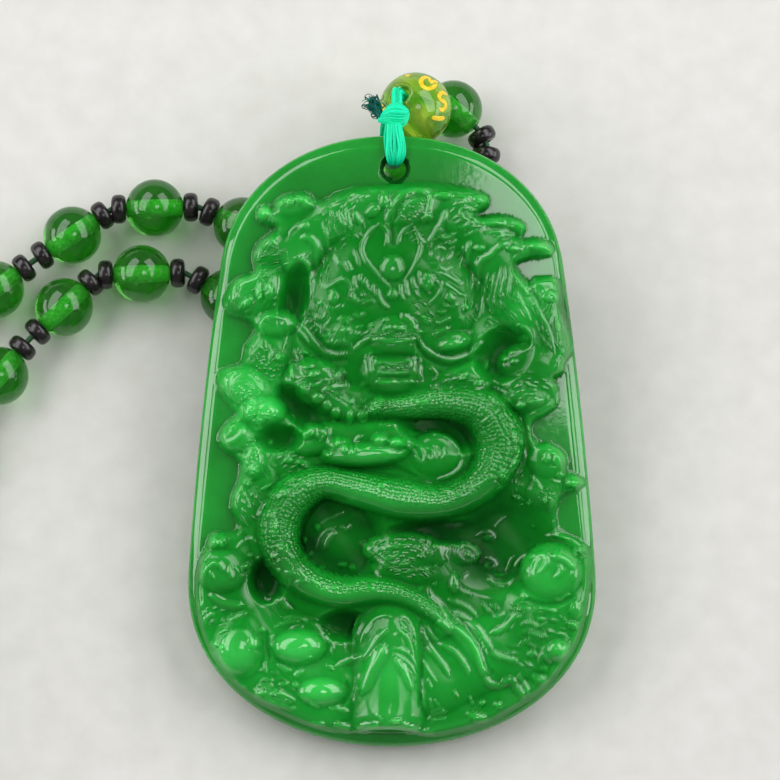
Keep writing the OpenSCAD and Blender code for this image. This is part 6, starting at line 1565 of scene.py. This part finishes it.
for layer in (-1, 0, 1):
    for place in np.linspace(-1, 1, MOST_STRANDS - abs(layer)):
        stray = STRAY * np.sin(t * rng.uniform(9, 26) + rng.uniform(0, 6.3))
        x_off = (place * np.sqrt(1 - 0.35 * layer ** 2) + stray) * (hank[:, 3] - STRAND_R)
        out_off = layer * (hank[:, 4] - STRAND_R) * math.sqrt(max(0.2, 1 - 0.5 * place ** 2))
        loop_paths.append(laid(hank[:, :3] + np.outer(x_off, (1, 0, 0)) + out * out_off[:, None]))
silk_loop = swept("silk_loop_strands", loop_paths, [STRAND_R] * len(loop_paths), 7, silk)
print("silk loop:", len(loop_paths), "strands,", triangles(silk_loop), "triangles")

# %% [markdown]
# Above the crown the hank is tied. The knot's turns run across it from a narrow left end to a full
# right end, and the core runs on into the larger bead.

# %% The knot and its core
KNOT_AT, KNOT_REACH = np.array([0.12, PLAQUE_H + 1.95, 3.55]), np.array([1.6, 1.2, 1.1])
KNOT_TURNS, TURN_R, KNOT_TILT = 28, 0.15, math.radians(16)
tilt_cos, tilt_sin = math.cos(KNOT_TILT), math.sin(KNOT_TILT)
u = np.linspace(-0.97, 0.97, 15)
knot_paths = []
for k in range(KNOT_TURNS):
    turn = 2 * math.pi * k / KNOT_TURNS
    full = np.sin(math.pi * ((u + 1) / 2) ** 1.5) ** 0.7 * (1 + 0.05 * math.sin(5 * turn))
    twist = turn + 0.5 * u
    x, y = u * KNOT_REACH[0], full * np.cos(twist) * KNOT_REACH[1]
    z = full * np.sin(twist) * KNOT_REACH[2]
    tilted = np.stack([x * tilt_cos - y * tilt_sin, x * tilt_sin + y * tilt_cos, z], -1)
    knot_paths.append(laid(KNOT_AT + tilted))
CORE_STRANDS, CORE_R, CORE_SPREAD, CORE_TURN = 16, 0.13, 0.52, 2.4
core = np.array([KNOT_AT + (0.1, 0.2, -0.1), (0.48, PLAQUE_H + 3.2, 3.1),
                 GILT_AT + GILT_D / 2 * GILT_WAY + 0.25 * GILT_WAY, GILT_AT + 0.5 * GILT_WAY])
for k in range(CORE_STRANDS):
    a, far = CORE_TURN * k, CORE_SPREAD * math.sqrt((k + 0.5) / CORE_STRANDS)
    knot_paths.append(laid(smooth_path(core + (far * math.cos(a), far * math.sin(a), 0), 4)))
knot_radii = [TURN_R] * KNOT_TURNS + [CORE_R] * CORE_STRANDS
silk_knot = swept("silk_knot_turns", knot_paths, knot_radii, 7, silk)
print("knot:", KNOT_TURNS, "turns and", CORE_STRANDS, "core strands,", triangles(silk_knot), "triangles")

# %% [markdown]
# The hank's cut ends stick out at the knot's upper left and come undone: each hair leaves the knot
# in a slightly different way and ends in a loose curl.

# %% The frayed end
TAIL_AT, TAIL_STRANDS = np.array([-1.85, PLAQUE_H + 3.1, 2.9]), 60
TAIL_FROM, TAIL_SPREAD, HAIR_THICK, HAIR_THIN = np.array([-1.2, -0.2, -0.1]), (0.36, 0.42, 0.3), 0.07, 0.03
tail_paths, tail_radii = [], []
for k in range(TAIL_STRANDS):
    start = KNOT_AT + TAIL_FROM + rng.normal(0, 0.14, 3)
    middle = TAIL_AT + rng.normal(0, 1, 3) * TAIL_SPREAD
    curl_r, first = rng.uniform(0.18, 0.42), rng.uniform(0, 6.3)
    turns = first + np.linspace(0, rng.uniform(2.5, 5.5), 7)
    lean = rng.uniform(-0.9, 0.9)
    curl = np.stack([np.cos(turns), np.sin(turns) * math.cos(lean), np.sin(turns) * math.sin(lean)], -1)
    bend = (start + middle) / 2 + rng.normal(0, 0.12, 3)
    path = smooth_path(np.vstack([start, bend, middle + curl * curl_r]), 4)
    tail_paths.append(laid(path))
    tail_radii.append(np.linspace(HAIR_THICK, HAIR_THIN, len(path)))
silk_tail = swept("silk_tail_frayed", tail_paths, tail_radii, 5, silk_ends)
print("frayed end:", len(tail_paths), "hairs,", triangles(silk_tail), "triangles")

# %% [markdown]
# ## The larger bead
#
# A 7.4 mm ball of yellow-green glass, drilled and polished. Its bore leans the way that the silk
# runs, so it is made upright, tilted to that way and moved to its place above the knot.

# %% The larger bead
gilt_bead = turned("gilt_bead_glass", ball_profile(GILT_D, GILT_BORE, 34), GILT_BORE, 64)
stand = np.array(Vector(gilt_way).to_track_quat("Z", "Y").to_matrix())
upright = np.array([v.co for v in gilt_bead.data.vertices])
gilt_bead.data.vertices.foreach_set("co", (upright @ stand.T + (gilt_mid + SHIFT) * MM).ravel())
gilt_bead.data.update()
gilt_bead.data.materials.append(gilt_glass)
print("larger bead:", triangles(gilt_bead), "triangles")

# %% [markdown]
# The marks are plain scrolls, a dot and a dash: flat strokes of enamel drawn on the ball, then
# repeated round its bore as a printed band would be. Each stroke's section is a low rise whose edges
# go into the glass.

# %% Gilt marks
MARKS = [  # half width, then points as seen from the camera, in mm from the ball's middle
    (0.24, (-1, 3.2), (-0.8, 3.3), (-0.6, 3.24)),
    (0.26, (2.15, 2.35), (1.75, 2), (1.2, 1.85), (0.75, 2.1), (0.55, 2.6), (0.85, 3.05), (1.35, 3),
     (1.45, 2.6)), (0.22, (1.5, 2.45), (1.9, 2.7), (2.25, 2.55)),
    (0.24, (3.2, 1.3), (2.75, 1.5), (2.4, 1.15), (2.6, 0.7), (3, 0.5), (3.05, 0), (2.7, -0.3),
     (2.4, -0.15)), (0.26, (1.65, -1.1), (2.3, -1.18), (2.95, -1.12))]
GROUPS, MARK_RISE, MARK_SINK = 2, 0.035, -0.04
section = [(1, MARK_SINK), (0.8, MARK_RISE), (0, MARK_RISE * 1.3), (-0.8, MARK_RISE), (-1, MARK_SINK)]
mark_points, mark_faces = [], []
for group in range(GROUPS):
    about = np.array(Matrix.Rotation(2 * math.pi * group / GROUPS, 3, Vector(GILT_WAY)))
    for half, *points in MARKS:
        seen = smooth_path(points, 6)
        rise = np.sqrt(np.maximum(0.3, (GILT_D / 2) ** 2 - (seen ** 2).sum(1)))
        out = np.column_stack([seen, rise]) @ about.T
        out /= np.linalg.norm(out, axis=1, keepdims=True)
        along = np.gradient(out, axis=0)
        side = np.cross(out, along / np.linalg.norm(along, axis=1, keepdims=True))
        width = half * np.sqrt(np.maximum(0.12, 1 - np.linspace(-1, 1, len(seen)) ** 8))[:, None]
        rows = [GILT_AT + out * (GILT_D / 2 + h) + side * width * u for u, h in section]
        rings = len(mark_points) + np.arange(len(seen) * len(section)).reshape(-1, len(section))
        mark_points += laid(np.stack(rows, 1).reshape(-1, 3)).tolist()
        for a, b in zip(rings, rings[1:]):
            mark_faces += np.stack([a, b, np.roll(b, -1), np.roll(a, -1)], -1).tolist()
        mark_faces += [rings[0].tolist(), rings[-1][::-1].tolist()]
gilt_marks = mesh_object("gilt_marks", mark_points, mark_faces)
gilt_marks.data.set_sharp_from_angle(angle=math.radians(40))
gilt_marks.data.materials.append(gilt)
print(GROUPS * len(MARKS), "gilt strokes,", triangles(gilt_marks), "triangles")

# %% [markdown]
# ## On the table
#
# Every piece rides on the necklace's one body. Those that dress a CAD solid hide it; the seeds, the
# frayed end and the gilt marks have no solid.

# %% Hand the pieces to the frame
for piece, node, slot in (
        (plaque, "carved_plaque", "jade"), (strand, "bead_string", "bead_glass"),
        (thread, "thread", "thread"), (silk_loop, "silk_loop", "silk"),
        (silk_knot, "silk_knot", "silk"), (gilt_bead, "gilt_bead", "gilt_glass")):
    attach(piece, "root")
    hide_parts(node)
for piece, slot in ((seeds, "bead_glass"), (silk_tail, "silk"), (gilt_marks, "gilt_glass")):
    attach(piece, "root")

# %% [markdown]
# A pale matt table top, as a sheet of paper gives it, with the faint mottling of paper's fibres.

# %% Table
TABLE_MM = 3000
half = TABLE_MM / 2 * MM
table = mesh_object("table_top", [(-half, -half, 0), (half, -half, 0), (half, half, 0), (-half, half, 0)],
                    [(0, 1, 2, 3)])
table_paint, tree, shader, where = new_material("table_top_pale_matt")
paper = add(tree, "ShaderNodeTexNoise", {"Vector": where, "Scale": per_mm(3), "Detail": 4.0})
tint = add(tree, "ShaderNodeValToRGB", {"Fac": paper}, stops=[(0.3, "#D2D0CB"), (0.7, "#DAD8D4")])
fill(tree, shader, {"Base Color": tint, "Roughness": 0.7})
table.data.materials.append(table_paint)
print("table of", TABLE_MM, "mm")

# %% [markdown]
# Five softboxes light it. One hangs beside the lens and lies as a pale sheet on the flat margin. Two
# large ones stand towards the crown, at the left and the right. Two low ones beside the edges draw
# the pale lines down both polished edges.

# %% Light
SOFTBOXES = [  # name, place from the aim in the plaque's frame, width and height in mm, brightness
    ("near_lens", (86, 45, 500), (130, 130), 3.9), ("upper_left", (-292, 194, 289), (620, 260), 3.3),
    ("upper_right", (292, 194, 289), (620, 260), 3.3), ("left_edge", (-440, 20, 80), (300, 130), 3.7),
    ("right_edge", (440, 20, 80), (300, 130), 3.7)]
for name, place, (wide, high), brightness in SOFTBOXES:
    lamp = bpy.data.lights.new("softbox_" + name, "AREA")
    lamp.shape, lamp.size, lamp.size_y = "RECTANGLE", wide * MM, high * MM
    lamp.energy = brightness * math.pi * lamp.size * lamp.size_y
    box = bpy.data.objects.new("softbox_" + name, lamp)
    box.location = Vector(laid(np.array(AIM) + place))
    box.rotation_mode = "QUATERNION"
    box.rotation_quaternion = (aim - box.location).to_track_quat("-Z", "Y")
    box.visible_camera = False
    bpy.context.collection.objects.link(box)
room = bpy.data.worlds.new("room")
bpy.context.scene.world = room
room.use_nodes = True
fill(room.node_tree, room.node_tree.nodes["Background"], {"Color": linear("#C4C6C8"), "Strength": 0.33})
bpy.context.scene.view_settings.view_transform = "Standard"
print(len(SOFTBOXES), "softboxes and a grey room")
